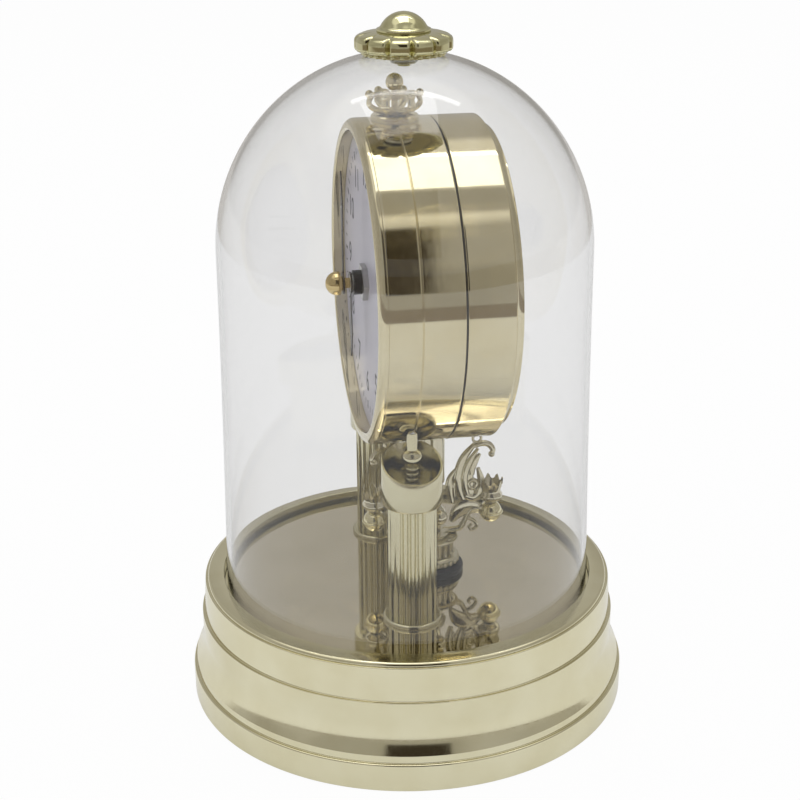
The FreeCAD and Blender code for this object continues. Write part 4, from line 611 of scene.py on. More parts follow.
def capital(side, name, x):
    """Cup with a slanted open top, which stops where it would meet the drum."""
    radius = 9.8 * MM
    inner = radius - 0.8 * MM
    edge = 0.6 * MM
    cut = 0.2 * MM
    cup_floor = SHAFT_TOP + 3.8 * MM
    lip = 0.2 * MM
    lip_cut = lip * 0.3
    near = COLUMN_X + radius
    far = COLUMN_X - radius
    near_z = DRUM_Z - DRUM_RADIUS - 1.7 * MM
    far_z = under_drum(far) + 1.2 * MM
    slope = (far_z - near_z) / (near - far)

    def top(r, angle):
        across = COLUMN_X + r * cos(angle)
        return min(near_z + slope * (near - across), under_drum(across))

    def ring(r, heights):
        return [(x + side * r * cos(angle), COLUMN_Y + side * r * sin(angle), height)
                for angle, height in zip(angles(MEDIUM), heights)]

    outside = [(0, SHAFT_TOP), (radius - edge, SHAFT_TOP), (radius - cut, SHAFT_TOP + cut),
               (radius, SHAFT_TOP + edge)]
    slanted = [(radius, lip), (radius - lip_cut, lip_cut), (radius - lip, 0), (inner + lip, 0),
               (inner + lip_cut, lip_cut), (inner, lip)]
    inside = [(inner, cup_floor), (0, cup_floor)]
    rings = [ring(r, [z] * MEDIUM) for r, z in outside]
    rings += [ring(r, [top(r, angle) - drop for angle in angles(MEDIUM)]) for r, drop in slanted]
    rings += [ring(r, [z] * MEDIUM) for r, z in inside]
    cup = stacked(rings, caps=False)
    close_doubles(finish_mesh("capital_cup_" + name, *cup, "clock", COLUMN_GOLD, ["capital_" + name]))


def spindle(name, x):
    """Foot, ringed core, ball and a thin neck that ends inside the drum."""
    seat = 85.5 * MM
    foot = 3.4 * MM
    foot_top = seat + 2.0 * MM
    core = 1.8 * MM
    ring_count = 4
    ring_low = 0.35 * MM
    ring_high = 1.45 * MM
    ring_pitch = 1.8 * MM
    ring_bow = 0.6 * MM
    ball = 3.3 * MM
    neck = 1.75 * MM
    steps = [(0, seat), (foot, seat), (foot, foot_top), (core, foot_top)]
    height = foot_top
    for _ in range(ring_count):
        steps += [(core, height + ring_low), (core, height + ring_high, ring_bow)]
        height += ring_pitch
    drop = sqrt(ball ** 2 - core ** 2)
    rise = sqrt(ball ** 2 - neck ** 2)
    bow = arc_bow(ball, hypot(drop + rise, core - neck))
    top = under_drum(COLUMN_X) + 1.0 * MM
    steps += [(core, height), (neck, height + drop + rise, bow), (neck, top), (0, top)]
    lathe("spindle_turned_" + name, outline(steps, KEEN), (x, COLUMN_Y, 0), "Z", "clock", COLUMN_GOLD,
          ["spindle_" + name], COARSE)


# Drum

def drum():
    bezel_back = DRUM_FRONT + 2.8 * MM
    seam = 8.6 * MM
    lap = 0.2 * MM
    seam_front = seam + lap
    seam_back = seam + 1.0 * MM - lap
    drum_body(bezel_back, seam_front)
    bezel(bezel_back)
    drum_back(seam, seam_back)
    depth = DRUM_RADIUS - 0.5 * MM
    steps = [(DRUM_INSIDE, seam_back), (depth, seam_back), (depth, seam_front), (DRUM_INSIDE, seam_front)]
    lathe("seam_ring", outline(steps, CRISP), DRUM_MIDDLE, "Y", "clock", DARK_BAND, ["seam_band"])


def drum_body(front, back):
    """Drum wall with a fine turned line outside and a ledge for the dial inside."""
    line = DRUM_FRONT + 13.1 * MM
    line_half = 0.3 * MM
    line_bottom = DRUM_RADIUS - 0.35 * MM
    ledge = DRUM_INSIDE - 3.8 * MM
    ledge_front = -11.8 * MM
    ledge_back = -10.3 * MM
    steps = outline([
        (DRUM_RADIUS, front), (DRUM_RADIUS, line - line_half), (line_bottom, line),
        (DRUM_RADIUS, line + line_half), (DRUM_RADIUS, back), (DRUM_INSIDE, back), (DRUM_INSIDE, ledge_back),
        (ledge, ledge_back), (ledge, ledge_front), (DRUM_INSIDE, ledge_front), (DRUM_INSIDE, front),
    ], EASED)
    lathe("drum_shell", list(reversed(steps)), DRUM_MIDDLE, "Y", "clock", DRUM_GOLD, ["drum_body"])


def bezel(back):
    opening = DRUM_RADIUS - 4.0 * MM
    crown = DRUM_RADIUS - 2.4 * MM
    crown_bow = -0.7 * MM
    inner_z = DRUM_FRONT + 0.5 * MM
    inner_bow = -0.25 * MM
    steps = outline([
        (opening, DIAL_FRONT), (DRUM_FIT, DIAL_FRONT), (DRUM_FIT, back), (DRUM_RADIUS, back),
        (crown, DRUM_FRONT, crown_bow), (opening, inner_z, inner_bow),
    ], KEEN)
    lathe("bezel", list(reversed(steps)), DRUM_MIDDLE, "Y", "clock", DRUM_GOLD, ["bezel_ring"])


def drum_back(seam, front):
    """Rear shell: a spigot inside the drum's wall, and a flat back with a round opening."""
    spigot_end = seam - 3.0 * MM
    wall = DRUM_FIT - 1.2 * MM
    back = DRUM_REAR - 1.5 * MM
    slope = 1.5 * MM
    opening = 37.0 * MM
    edge = 3.0 * MM
    edge_bow = 0.88 * MM
    steps = outline([
        (DRUM_RADIUS, front), (DRUM_FIT, front), (DRUM_FIT, spigot_end), (wall, spigot_end),
        (wall, back - slope), (wall - slope, back), (opening, back), (opening, DRUM_REAR),
        (DRUM_RADIUS - edge, DRUM_REAR), (DRUM_RADIUS, DRUM_REAR - edge, edge_bow),
    ], SOFT)
    lathe("drum_back", steps, DRUM_MIDDLE, "Y", "clock", DRUM_GOLD, ["rear_shell"])


def dial():
    bore = 4.05 * MM
    back = DIAL_FRONT + 1.0 * MM
    face = outline([(bore, DIAL_FRONT), (DRUM_FIT, DIAL_FRONT), (DRUM_FIT, back), (bore, back)], CRISP)
    lathe("dial_face", face, DRUM_MIDDLE, "Y", "clock", DIAL_PAINT, ["dial_plate"], MEDIUM)
    marks = merged([minute_marks()] + [numeral(hour) for hour in range(1, 13)])
    finish_mesh("dial_figures", *marks, "clock", FIGURE_INK, smooth=False)


def minute_marks():
    high = 44.0 * MM
    hour_half = 0.45 * MM
    hour_low = 41.2 * MM
    minute_half = 0.2 * MM
    minute_low = 42.0 * MM
    centre = Vector((0, DIAL_FRONT, DRUM_Z))
    pieces = []
    for minute in range(60):
        at_hour = minute % 5 == 0
        half = hour_half if at_hour else minute_half
        low = hour_low if at_hour else minute_low
        turn = TURN * minute / 60
        along = Vector((sin(turn), 0, cos(turn)))
        across = Vector((cos(turn), 0, -sin(turn)))
        corners = [(-half, low), (half, low), (half, high), (-half, high)]
        pieces.append(raised([centre + across * a + along * b for a, b in corners]))
    return merged(pieces)


def raised(corners):
    """Thin plate on the dial in front of the given corners, which run the way a clock's hands turn."""
    sunk = Vector((0, SKIN, 0))
    lift = Vector((0, -0.06 * MM, 0))
    return stacked([[c + lift for c in corners], [c + sunk for c in corners]])


def numeral(hour):
    """A plain numeral from the built-in letter shapes, upright on the dial."""
    orbit = 34.5 * MM
    curve = bpy.data.curves.new("figure", "FONT")
    curve.body = str(hour)
    curve.size = 10.5 * MM
    curve.align_x = "CENTER"
    curve.align_y = "CENTER"
    curve.extrude = 0.05 * MM
    curve.resolution_u = 4
    obj = placed("figure", curve)
    mesh = obj.evaluated_get(bpy.context.evaluated_depsgraph_get()).to_mesh()
    turn = TURN * hour / 12
    place = Vector((sin(turn), 0, cos(turn))) * orbit + Vector((0, DIAL_FRONT, DRUM_Z))
    vertices = [place + Vector((v.co.x, -v.co.z, v.co.y)) for v in mesh.vertices]
    faces = [tuple(p.vertices) for p in mesh.polygons]
    bpy.data.objects.remove(obj)
    return vertices, faces


# Hands

def hand(name, body, replaced, length, back, pointing, bore):
    """Leaf hand with a raised ridge, a round hub and a hole."""
    thickness = 0.5 * MM
    front = back - thickness
    shoulder = front + thickness * 0.35
    hub = 3.6 * MM
    start = 3.2 * MM
    belly = start + (length - start) * 0.6
    leaf = smooth_line([
        (start, 0.75 * MM), ((start + belly) / 2, 1.1 * MM), (belly, 2.1 * MM),
        ((belly + length) / 2, 1.15 * MM), (length, 0.2 * MM),
    ], 6)
    rings = []
    for along, half in leaf:
        z = DRUM_Z + pointing * along
        corners = [(-half, back), (half, back), (half, shoulder), (0, front), (-half, shoulder)]
        rings.append([(x, y, z) for x, y in corners])
    steps = outline([(bore, back), (hub, back), (hub, front), (bore, front)], CRISP)
    lathe(name, steps, DRUM_MIDDLE, "Y", body, HAND_PAINT, replaced, COARSE)
    close_doubles(finish_mesh(name + "_blade", *stacked(rings), body, HAND_PAINT, smooth=False))


def hands():
    hand("hour_hand_leaf", "hour", ["hour_hand"], 25.0 * MM, back=-17.8 * MM, pointing=-1, bore=2.5 * MM)
    hand("minute_hand_leaf", "minute", ["minute_hand"], 37.0 * MM, back=-20.2 * MM, pointing=1,
         bore=1.7 * MM)


def hand_nut():
    """Nut with a short skirt and a domed front."""
    back = -20.7 * MM
    foot = 2.4 * MM
    foot_front = back - 0.8 * MM
    radius = 3.9 * MM
    skirt = back - 2.0 * MM
    dome_height = 3.6 * MM
    steps = outline([
        (0, back), (foot, back), (foot, foot_front), (radius, foot_front), (radius, skirt),
        (0, skirt - dome_height, -cap_bow(radius, dome_height)),
    ], EASED)
    lathe("hand_dome_nut", steps, DRUM_MIDDLE, "Y", "minute", NUT_BRASS, ["hand_nut"], MEDIUM)


# Pendulum

PENDULUM_Y = 9.4 * MM
PENDULUM_FOOT = Vector((0, PENDULUM_Y, 0))
RING_TOP = 45.7 * MM
HUB_Z = 53.1 * MM
HUB_TOP = HUB_Z + 2.2 * MM
BALL_Z = 60.2 * MM
BALL_RADIUS = 3.9 * MM
BALL_ORBIT = 20.5 * MM

# Castings as rows of reach, height, half width and half depth, in millimetres
BALL_ARM = [(9.4, 54.8, 1.1, 1.2), (11.5, 58.0, 0.9, 1.1), (13.5, 61.5, 1.0, 1.1), (16.8, 61.8, 1.1, 1.2)]
ARM_CURL = [(11.9, 58.6, 0.7, 0.9), (14.6, 57.0, 0.7, 0.9), (15.6, 54.9, 0.65, 0.9), (14.0, 53.6, 0.6, 0.8),
            (12.8, 54.8, 0.5, 0.8), (13.7, 55.7, 0.45, 0.7)]
ARM_PLATE = [(6.4, 57.4, 0.9, 0.7), (9.4, 61.4, 3.0, 0.9), (13.2, 62.6, 3.2, 0.9), (16.9, 61.4, 1.6, 0.7)]
SIDE_ARM = [(7.9, 56.6, 0.9, 1.1), (8.4, 60.2, 0.8, 1.0), (10.5, 64.5, 0.7, 0.9)]

# Bands of a leaf: points of reach and height, half width at each, and half depth, in millimetres
LEAF_BANDS = [
    ([(12.9, 66.2), (11.6, 70.6), (11.9, 75.4), (14.4, 82.0)], (2.2, 2.9, 2.5, 1.0), 0.4),
    ([(10.4, 65.6), (9.0, 69.6), (8.7, 74.6), (10.7, 81.0), (14.6, 86.0)], (1.1, 1.5, 1.6, 1.5, 0.7), 1.0),
    ([(12.4, 66.4), (11.3, 70.2), (11.3, 74.6), (13.1, 79.9), (15.8, 84.2)], (0.8, 1.2, 1.2, 1.1, 0.5), 0.8),
    ([(13.6, 74.6), (13.9, 77.0), (15.2, 80.2), (16.5, 82.2)], (1.0, 1.2, 1.1, 0.5), 0.7),
    ([(11.4, 66.7), (14.6, 65.8), (16.8, 68.0), (17.0, 72.0), (15.9, 76.8)], (1.3, 1.9, 1.7, 1.4, 0.7), 0.9),
    ([(14.4, 85.2), (17.2, 86.0), (19.6, 85.4), (21.0, 83.4), (20.6, 82.0)], (0.8, 1.1, 1.1, 1.0, 0.8), 0.9),
    ([(16.6, 74.6), (17.6, 71.4), (18.4, 69.4)], (0.9, 0.8, 0.6), 0.7),
    ([(6.6, 64.6), (5.7, 69.4), (6.1, 73.6), (7.8, 76.8)], (0.9, 1.4, 1.3, 0.6), 0.8),
    ([(7.4, 66.8), (7.2, 70.2), (7.9, 72.8)], (0.6, 0.9, 0.5), 0.7),
]

# Rings of a coronet: radius, height above its seat, and how far they follow the points
CORONET_RINGS = [
    (0, 0, 0), (2.1, 0, 0), (2.2, 0.5, 0), (3.5, 1.1, 0.3), (4.1, 2.0, 0.6), (4.1, 3.0, 0.6),
    (3.5, 3.9, 0.3), (3.4, 4.6, 0), (4.0, 6.4, 1), (4.2, 7.0, 1), (3.8, 7.0, 1), (3.0, 4.9, 0),
    (2.6, 4.4, 0), (0, 4.2, 0),
]


def stem():
    """Turned stem with a vase and a ring, and the wide sleeve on top."""
    radius = 2.3 * MM
    vase = 4.6 * MM
    vase_z = HUB_Z + 6.6 * MM
    vase_top = HUB_Z + 11.0 * MM
    hollow = -0.4 * MM
    swell = 0.8 * MM
    ring_low = 66.7 * MM
    ring_high = 68.3 * MM
    sleeve = 4.0 * MM
    sleeve_low = 72.8 * MM
    sleeve_top = 92.3 * MM
    edge = 1.0 * MM
    edge_bow = 0.29 * MM
    steps = outline([
        (0, HUB_TOP), (radius, HUB_TOP), (vase, vase_z, hollow), (radius, vase_top, swell),
        (radius, ring_low), (radius, ring_high, swell), (radius, sleeve_low), (sleeve - edge, sleeve_low),
        (sleeve, sleeve_low + edge, edge_bow), (sleeve, sleeve_top - edge),
        (sleeve - edge, sleeve_top, edge_bow), (0, sleeve_top),
    ], KEEN)
    lathe("stem_turned", steps, PENDULUM_FOOT, "Z", "pendulum", PENDULUM_GOLD, ["pendulum_stem"], MEDIUM)


def lantern():
    """Two flared plates with a cage of ribs between them."""
    rim = 8.9 * MM
    neck = 7.4 * MM
    core = 6.3 * MM
    core_low = RING_TOP + 1.2 * MM
    core_top = 51.9 * MM
    rim_z = 52.5 * MM
    seat = 7.7 * MM
    bow = 0.3 * MM
    steps = outline([
        (0, RING_TOP), (rim, RING_TOP), (neck, core_low, bow), (core, core_low), (core, core_top),
        (neck, core_top), (rim, rim_z, -bow), (seat, HUB_Z, bow), (0, HUB_Z),
    ], TIGHT)
    lathe("lantern_plates", steps, PENDULUM_FOOT, "Z", "pendulum", PENDULUM_GOLD, ["lantern"], MEDIUM)
    rib_line = smooth_line(in_metres([(46.7, 7.0), (47.6, 6.5), (49.4, 6.3), (51.2, 6.5), (52.1, 7.0)]), 5)
    halves = [0.8 * MM] * len(rib_line)
    ribs = []
    for out in spokes(14):
        path = [PENDULUM_FOOT + UP * z + out * r for z, r in rib_line]
        ribs.append(sweep(path, halves, halves, out.cross(UP), 10))
    finish_mesh("lantern_ribs", *merged(ribs), "pendulum", PENDULUM_GOLD)


def bead_ring():
    low = 42.0 * MM
    bore = 3.6 * MM
    step = low + 1.1 * MM
    radius = 8.4 * MM
    steps = [(0, low), (bore, low), (bore, step), (radius, step), (radius, RING_TOP), (0, RING_TOP)]
    steps = outline(steps, KEEN)
    lathe("bead_ring_core", steps, PENDULUM_FOOT, "Z", "pendulum", PENDULUM_GOLD, ["bead_ring"], MEDIUM)
    orbit = 8.2 * MM
    bead = 1.1 * MM
    centre = PENDULUM_FOOT + UP * (RING_TOP - 1.3 * MM)
    finish_mesh("bead_ring_beads", *bead_row(22, centre, orbit, bead, 20, 12), "pendulum", PENDULUM_GOLD)


def arms():
    """Two scrolled arms that carry the balls, two short side arms with a knob, and their hub."""
    root = 3.6 * MM
    root_z = HUB_Z + 1.1 * MM
    ball_arm = [(root, root_z, 1.3 * MM, 1.2 * MM)] + in_metres(BALL_ARM)
    ball_arm.append((BALL_ORBIT - 2.5 * MM, BALL_Z, 0.8 * MM, 1.0 * MM))
    side_arm = [(root, root_z, 1.1 * MM, 1.2 * MM)] + in_metres(SIDE_ARM)
    knob_reach, knob_z = side_arm[-1][:2]
    pieces = []
    for side in (1, -1):
        across = Vector((0, side, 0))
        for rows in (ball_arm, in_metres(ARM_CURL), in_metres(ARM_PLATE)):
            pieces.append(scroll(rows, PENDULUM_FOOT, across))
        across = Vector((side, 0, 0))
        pieces.append(scroll(side_arm, PENDULUM_FOOT, across))
        pieces.append(ball_mesh(PENDULUM_FOOT + UP * knob_z + across * knob_reach, 2.8 * MM))
    finish_mesh("arm_scrolls", *merged(pieces), "pendulum", PENDULUM_GOLD, ["pendulum_arms"])
    hub = 5.2 * MM
    hub_bow = 0.55 * MM
    steps = outline([(0, HUB_Z), (hub, HUB_Z), (hub, HUB_TOP, hub_bow), (0, HUB_TOP)], KEEN)
    lathe("arm_hub", steps, PENDULUM_FOOT, "Z", "pendulum", PENDULUM_GOLD, (), MEDIUM)


def balls():
    """Balls with a raised band round the middle, each under a coronet."""
    half = 0.43 * MM
    flat = sqrt(BALL_RADIUS ** 2 - half ** 2)
    bow = arc_bow(BALL_RADIUS, hypot(BALL_RADIUS - half, flat))
    slight_bow = 0.1 * MM
    band_half = half * 0.5
    for name, side in (("front", -1), ("rear", 1)):
        centre = PENDULUM_FOOT + UP * BALL_Z + Vector((0, side * BALL_ORBIT, 0))
        steps = outline([
            (0, BALL_Z - BALL_RADIUS), (flat, BALL_Z - half, bow),
            (flat + half, BALL_Z - band_half, slight_bow), (flat + half, BALL_Z + band_half, slight_bow / 2),
            (flat, BALL_Z + half, slight_bow), (0, BALL_Z + BALL_RADIUS, bow),
        ], CRISP)
        lathe("ball_turned_" + name, steps, centre, "Z", "pendulum", BALL_GOLD, ["ball_" + name], MEDIUM)
        rings = coronet(centre, BALL_Z + BALL_RADIUS - 0.2 * MM)
        close_doubles(finish_mesh("coronet_" + name, *rings, "pendulum", PENDULUM_GOLD, ["crown_" + name]))


def coronet(centre, seat):
    """Small open crown: a foot, a ribbed ring and a flared rim with points."""
    point_height = 1.9
    point_swell = 0.05
    rings = []
    for radius, height, wave in CORONET_RINGS:

        def point_at(phase):
            point = (0.5 + 0.5 * cos(TURN * phase)) ** 1.5
            rise = point_height * point if wave == 1 else 0
            return radius * (1 + point_swell * wave * (point - 0.5)) * MM, seat + (height + rise) * MM

        rings.append(wavy_ring(centre, point_at, count=8, per_wave=8))
    return stacked(rings, caps=False)


def leaves():
    """Arched leaves of veined bands round an eye, each with a curl and a hanging ring."""
    for name, side in (("front", -1), ("rear", 1)):
        across = Vector((0, side, 0))

        def at(reach, height):
            return PENDULUM_FOOT + across * reach * MM + UP * height * MM

        pieces = []
        for points, halves, depth in LEAF_BANDS:
            rows = in_metres([(a, b, half, depth) for (a, b), half in zip(points, halves)])
            pieces.append(scroll(rows, PENDULUM_FOOT, across))
        pieces.append(ring_mesh(at(13.9, 71.0), 1.5 * MM, 0.85 * MM, across))
        pieces.append(ball_mesh(at(20.6, 81.8), 1.15 * MM, 20, 12))
        pieces.append(ring_mesh(at(15.4, 88.0), 1.45 * MM, 0.5 * MM, across))
        finish_mesh("leaf_scroll_" + name, *merged(pieces), "pendulum", PENDULUM_GOLD, ["leaf_" + name])


def guide_cup():
    """Black ring on the floor that the pendulum's foot turns in."""
    low = FLOOR_Z + SKIN
    radius = 10.5 * MM
    edge_z = FLOOR_Z + 1.9 * MM
    top_radius = 9.8 * MM
    top = FLOOR_Z + 2.6 * MM
    top_bow = 0.2 * MM
    well = 6.2 * MM
    well_z = FLOOR_Z + 0.9 * MM
    steps = outline([
        (0, low), (radius, low), (radius, edge_z), (top_radius, top, top_bow), (well, top), (well, well_z),
        (0, well_z),
    ], EASED)
    lathe("guide_cup_round", steps, PENDULUM_FOOT, "Z", "clock", BLACK_PLASTIC, ["guide_cup"], MEDIUM)


# Crest

# Rows of a crest scroll: reach, share of the crest's height, half width and half depth, in millimetres
CREST_SCROLL = [(1.4, 0.06, 0.9, 1.0), (5.5, 0.1, 0.95, 1.3), (8.1, 0.26, 0.85, 1.5), (6.9, 0.47, 0.8, 1.2),
                (3.7, 0.5, 0.75, 1.0), (1.0, 0.38, 0.65, 0.8)]
CREST_PLACE = Vector((0, -3.0 * MM, 0))
CREST_LOW = 200.4 * MM
CREST_TOP = 213.0 * MM


def crest():
    """Crown of scrolls that curl inwards, each with a ball above its bend."""
    height = CREST_TOP - CREST_LOW
    rows = [(a * MM, CREST_LOW + height * share, w * MM, d * MM) for a, share, w, d in CREST_SCROLL]
    ball_reach = 8.0 * MM
    ball_z = CREST_LOW + height * 0.5
    pieces = []
    for out in spokes(6, 0.5):
        pieces.append(scroll(rows, CREST_PLACE, out))
        pieces.append(ball_mesh(CREST_PLACE + out * ball_reach + UP * ball_z, 1.3 * MM, 16, 10))
    finish_mesh("crest_crown", *merged(pieces), "clock", DRUM_GOLD, ["crest_scrolls"])


def crest_spire():
    core = 1.1 * MM
    foot = 2.0 * MM
    foot_edge = CREST_LOW + 1.4 * MM
    foot_top = CREST_LOW + 1.6 * MM
    bead = 2.8 * MM
    bead_z = CREST_TOP - bead
    ring_z = bead_z - bead - 1.6 * MM
    ring_half = 0.6 * MM
    ring_bow = 0.1 * MM
    drop = sqrt(bead ** 2 - core ** 2)
    steps = outline([
        (0, CREST_LOW), (foot, CREST_LOW), (foot, foot_edge), (core, foot_top), (core, ring_z - ring_half),
        (foot, ring_z, -ring_bow), (core, ring_z + ring_half, ring_bow), (core, bead_z - drop),
        (0, CREST_TOP, arc_bow(bead, hypot(core, drop + bead))),
    ], TIGHT)
    lathe("crest_spire_turned", steps, CREST_PLACE, "Z", "clock", DRUM_GOLD, ["crest_spire"], COARSE)


# Dome and finial

DISC_LOW = DOME_TOP + 0.2 * MM
DISC_TOP = DISC_LOW + 5.8 * MM
STUD = 2.0 * MM

# Rings of the finial's disc: share of its radius, share of its height, and how deep the notches are there
DISC_RINGS = [
    (0.0, 0.0, 0.0), (0.90, 0.0, 0.2), (0.96, 0.03, 0.7), (0.985, 0.10, 1.0), (0.992, 0.20, 1.0),
    (0.992, 0.52, 1.0), (0.985, 0.64, 1.0), (0.96, 0.74, 1.0), (0.91, 0.82, 0.8), (0.82, 0.90, 0.5),
    (0.68, 0.97, 0.2), (0.56, 1.0, 0.0), (0.0, 1.0, 0.0),
]


def dome():
    """Clear shell with slightly drawn-in walls and a hole for the finial's stud."""
    low = RIM_Z - 4.5 * MM
    foot = low + 1.0 * MM
    hole = STUD + 0.1 * MM
    edge = 0.5 * MM
    wall_steps = 12
    arc_steps = 48

    def side(radius):
        points = [(radius, low)]
        for i in range(wall_steps + 1):
            share = i / wall_steps
            drawn = DOME_DRAFT * sin(pi / 2 * share)
            points.append((radius - drawn, foot + (DOME_SPRING - foot) * share))
        across = radius - DOME_DRAFT
        for i in range(1, arc_steps + 1):
            angle = pi / 2 * i / arc_steps
            points.append((max(across * cos(angle), hole), DOME_SPRING + radius * sin(angle)))
        return points

    points = side(DOME_RADIUS) + list(reversed(side(DOME_RADIUS - DOME_WALL)))
    lathe("clear_dome", rounded(points, edge), ORIGIN, "Z", "dome", CLEAR, ["dome"])


def collar():
    """Ring that fits the dome's top from above, with a row of beads round it."""
    radius = 12.4 * MM
    seat = DOME_RADIUS + 0.1 * MM
    seat_steps = 6
    steps = [(STUD, DISC_LOW), (radius, DISC_LOW)]
    for i in range(seat_steps, -1, -1):
        r = STUD + (radius - STUD) * i / seat_steps
        steps.append((r, DOME_SPRING + sqrt(seat ** 2 - r * r)))
    steps = list(reversed(rounded(steps, KEEN)))
    lathe("collar", steps, ORIGIN, "Z", "dome", FINIAL_GOLD, ["finial_collar"])
    orbit = 12.6 * MM
    bead = 0.85 * MM
    centre = UP * (DISC_LOW - 0.5 * MM)
    finish_mesh("collar_beads", *bead_row(28, centre, orbit, bead, 16, 10), "dome", FINIAL_GOLD)


def lobed_disc():
    """Disc with upright lobes: each ring keeps the lobes' outline, drawn in at the top edge."""
    radius = 15.5 * MM
    notch = 1.9 * MM
    land = 0.68
    rings = []
    for share, level, notch_share in DISC_RINGS:

        def point_at(phase):
            off = max(0.0, (abs(phase - 0.5) / 0.5 - land) / (1 - land))
            dip = notch * notch_share * off ** 1.3
            return max(radius * share - dip, 0), DISC_LOW + (DISC_TOP - DISC_LOW) * level

        rings.append(wavy_ring(ORIGIN, point_at, count=12, per_wave=16))
    disc = stacked(rings, caps=False)
    close_doubles(finish_mesh("lobed_disc", *disc, "dome", FINIAL_GOLD, ["finial_disc"]))


def button():
    """Bell-shaped button with its stud, which reaches down through the dome."""
    stud_low = 215.0 * MM
    hub = 8.5 * MM
    hub_edge = DISC_TOP + 0.8 * MM
    cap = 7.2 * MM
    cap_low = DISC_TOP + 1.7 * MM
    cap_height = 4.3 * MM
    flare = -0.15 * MM
    steps = outline([
        (0, stud_low), (STUD, stud_low), (STUD, DISC_TOP), (hub, DISC_TOP), (hub, hub_edge),
        (cap, cap_low, flare), (0, cap_low + cap_height, cap_bow(cap, cap_height)),
    ], EASED)
    lathe("button", steps, ORIGIN, "Z", "dome", FINIAL_GOLD, ["finial_button"], MEDIUM)


# Studio

# What metal mirrors: the table's reach, and the room's parts as shares of a mirrored ray's direction
TABLE_REACH = 0.72
TABLE_EDGE = 1.06
PERSON_ACROSS = (-0.35, 0.190)
PERSON_TALL = (0.115, 0.775)
CEILING_EDGE = (0.74, 0.84)
BEAM_EDGE = (0.80, 0.86)
BEAM_ACROSS = (0.18, 0.48)

DARK = (0.035, 0.026, 0.016)
WALL = (0.47, 0.455, 0.43)
WALL_DARKER = (0.39, 0.375, 0.345)
CEILING = (1.0, 0.98, 0.94)
FLOOR_FAR = (0.24, 0.20, 0.15)
FLOOR_BEHIND = (0.62, 0.60, 0.57)
TABLE_PAINT = (0.86, 0.86, 0.86)
SKY_LIGHT = (0.62, 0.62, 0.62)
WHITE = (1.0, 1.0, 1.0)

# Lamps: name, place, width, height, power and whether metal and glass show them
LAMP_TARGET = (0, 0, 0.13)
LAMPS = [
    ("key", (0.7, -1.1, 1.1), 0.5, 0.8, 2.6, False),
    ("fill", (0.7, 1.2, 0.8), 0.5, 0.8, 1.8, False),
    ("top", (-0.1, 0.0, 1.4), 0.7, 0.7, 2.2, True),
    ("strip", (-0.45, 0.1, 1.4), 1.07, 0.06, 0.8, True),
    ("back", (-1.2, 0.3, 0.8), 0.6, 0.6, 1.4, False),
]


def calculated(tree, operation, first, second):
    return added(tree, "Math", "Value", {0: first, 1: second}, operation=operation)


def multiplied(tree, first, second):
    return calculated(tree, "MULTIPLY", first, second)


def coordinate(tree, axis, vector):
    return added(tree, "SeparateXYZ", axis, {"Vector": vector})


def emitted(tree, colour):
    return added(tree, "Emission", "Emission", {"Color": colour})


def backdrop(tree, colour):
    return added(tree, "Background", "Background", {"Color": colour})


def seen_straight(tree):
    """1 for what the camera sees with nothing but the clear dome between, 0 for mirrored and lit rays."""
    mirrors = added(tree, "LightPath", "Glossy Depth")
    bounces = calculated(tree, "ADD", mirrors, added(tree, "LightPath", "Diffuse Depth"))
    return calculated(tree, "LESS_THAN", bounces, 0.5)


def seen_mirrored(tree):
    """1 for what metal and glass mirror, also where the mirrored ray leaves through the dome."""
    lit = multiplied(tree, added(tree, "LightPath", "Diffuse Depth"), 2.0)
    mirrors = calculated(tree, "MINIMUM", added(tree, "LightPath", "Glossy Depth"), 1.0)
    return calculated(tree, "LESS_THAN", lit, mirrors)


def between(tree, value, low, high, soft):
    """1 where a value lies between two limits, with soft edges."""
    above = ramped(tree, value, low - soft, low + soft)
    below = ramped(tree, value, high - soft, high + soft, 1.0, 0.0)
    return multiplied(tree, above, below)


def person_mask(tree, ray):
    """1 towards the dark shape of whoever holds the camera, 0 elsewhere."""
    across = between(tree, coordinate(tree, "Y", ray), *PERSON_ACROSS, 0.003)
    tall = between(tree, coordinate(tree, "Z", ray), *PERSON_TALL, 0.012)
    ahead = calculated(tree, "GREATER_THAN", coordinate(tree, "X", ray), 0.0)
    return multiplied(tree, multiplied(tree, across, tall), ahead)


def ground_material():
    """Pale table that fades to white for the camera. Metal mirrors its edge and the room's floor beyond."""
    white_straight = 0.96
    white_mirrored = 0.35
    material, tree, shader = new_material("ground")
    feed(tree, shader, {"Base Color": TABLE_PAINT, "Roughness": 0.9})
    mirrored = seen_mirrored(tree)
    white = calculated(tree, "ADD", multiplied(tree, seen_straight(tree), white_straight),
                       multiplied(tree, mirrored, white_mirrored))
    table = mixed_shaders(tree, white, shader.outputs["BSDF"], emitted(tree, WHITE))
    place = added(tree, "TexCoord", "Object")
    reach = added(tree, "VectorMath", "Value", {0: place}, operation="LENGTH")
    far = multiplied(tree, ramped(tree, reach, TABLE_REACH, TABLE_REACH * TABLE_EDGE), mirrored)
    towards_camera = ramped(tree, coordinate(tree, "X", place), -0.2, 0.3)
    room = emitted(tree, mixed(tree, towards_camera, FLOOR_BEHIND, FLOOR_FAR))
    feed(tree, tree.nodes["Material Output"], {"Surface": mixed_shaders(tree, far, table, room)})
    return material


def ground():
    half = 3.0
    mesh = bpy.data.meshes.new("ground")
    corners = [(-half, -half, 0), (half, -half, 0), (half, half, 0), (-half, half, 0)]
    mesh.from_pydata(corners, [], [(0, 1, 2, 3)])
    mesh.materials.append(ground_material())
    placed("ground", mesh)


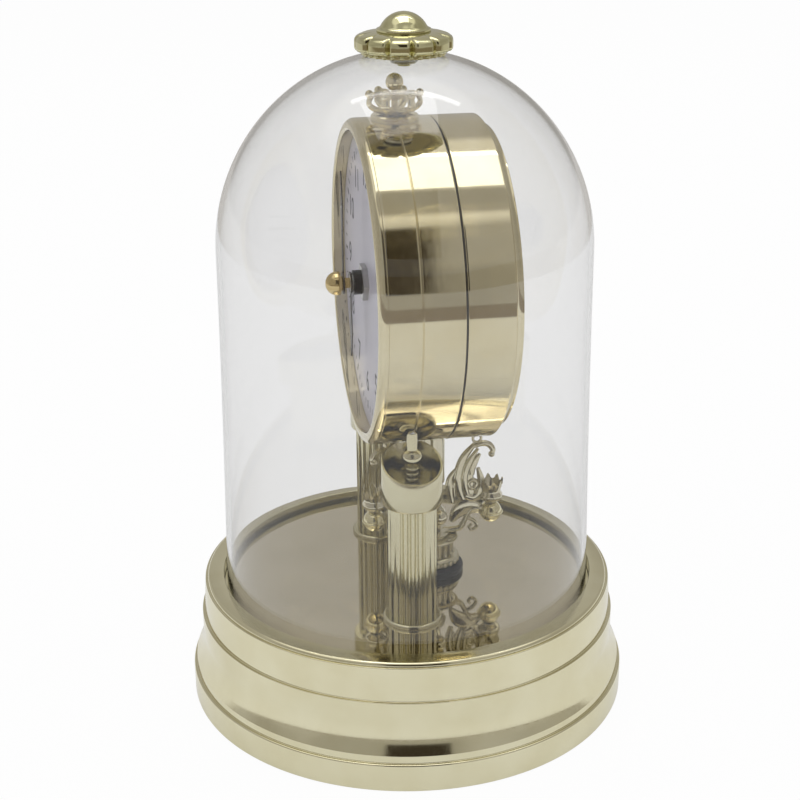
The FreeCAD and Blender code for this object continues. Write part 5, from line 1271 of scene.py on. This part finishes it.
def studio_sky():
    """Plain white behind the object. Metal mirrors a room: walls, a ceiling with a beam, and a person."""
    world = bpy.data.worlds.new("studio")
    bpy.context.scene.world = world
    world.use_nodes = True
    tree = world.node_tree
    tree.nodes.remove(tree.nodes["Background"])
    ray = added(tree, "TexCoord", "Generated")
    height = coordinate(tree, "Z", ray)
    patches = added(tree, "TexNoise", "Fac", {"Vector": ray, "Scale": 1.7, "Detail": 1.0})
    beam = multiplied(tree, between(tree, coordinate(tree, "X", ray), *BEAM_ACROSS, 0.04),
                      ramped(tree, height, *BEAM_EDGE))
    room = mixed(tree, ramped(tree, patches, 0.38, 0.62), WALL, WALL_DARKER)
    room = mixed(tree, person_mask(tree, ray), room, DARK)
    room = mixed(tree, ramped(tree, height, *CEILING_EDGE), room, CEILING)
    room = mixed(tree, beam, room, WALL)
    unseen = mixed_shaders(tree, seen_mirrored(tree), backdrop(tree, SKY_LIGHT), backdrop(tree, room))
    sky = mixed_shaders(tree, seen_straight(tree), unseen, backdrop(tree, WHITE))
    feed(tree, tree.nodes["World Output"], {"Surface": sky})


def lamp(name, place, width, height, power, mirrored):
    data = bpy.data.lights.new(name, "AREA")
    data.shape = "RECTANGLE"
    data.size = width
    data.size_y = height
    data.energy = power
    obj = placed(name, data)
    obj.location = place
    obj.rotation_mode = "QUATERNION"
    obj.rotation_quaternion = (Vector(LAMP_TARGET) - Vector(place)).to_track_quat("-Z", "Y")
    obj.visible_glossy = mirrored
    obj.visible_transmission = mirrored


def camera():
    """Stands where the photograph's camera stood, turned and tilted as it was. Lens sizes are in pixels."""
    azimuth = radians(79.6)
    pitch = radians(21.29)
    roll = radians(0.385)
    distance = 0.5022
    height = 0.2994
    picture = 800
    lens = 1602.5
    aside = 5.65
    level_right = Vector((cos(azimuth), sin(azimuth), 0))
    level_back = Vector((sin(azimuth), -cos(azimuth), 0))
    place = level_back * distance + UP * height
    forward = -level_back * cos(pitch) - UP * sin(pitch)
    forward = (forward - level_right * (aside / lens)).normalized()
    straight_right = forward.cross(UP).normalized()
    straight_up = straight_right.cross(forward)
    right = straight_right * cos(roll) - straight_up * sin(roll)
    up = straight_up * cos(roll) + straight_right * sin(roll)
    data = bpy.data.cameras.new("camera")
    data.sensor_width = 36.0
    data.lens = lens / picture * data.sensor_width
    data.clip_start = 0.01
    obj = placed("camera", data)
    obj.matrix_world = Matrix.Translation(place) @ Matrix((right, up, -forward)).transposed().to_4x4()
    bpy.context.scene.camera = obj


dress_cad_nodes()
base_shell()
column(1)
column(-1)
drum()
dial()
hands()
hand_nut()
stem()
lantern()
bead_ring()
arms()
balls()
leaves()
guide_cup()
crest()
crest_spire()
dome()
collar()
lobed_disc()
button()
ground()
studio_sky()
for lamp_row in LAMPS:
    lamp(*lamp_row)
camera()
bpy.context.scene.view_settings.view_transform = "Standard"
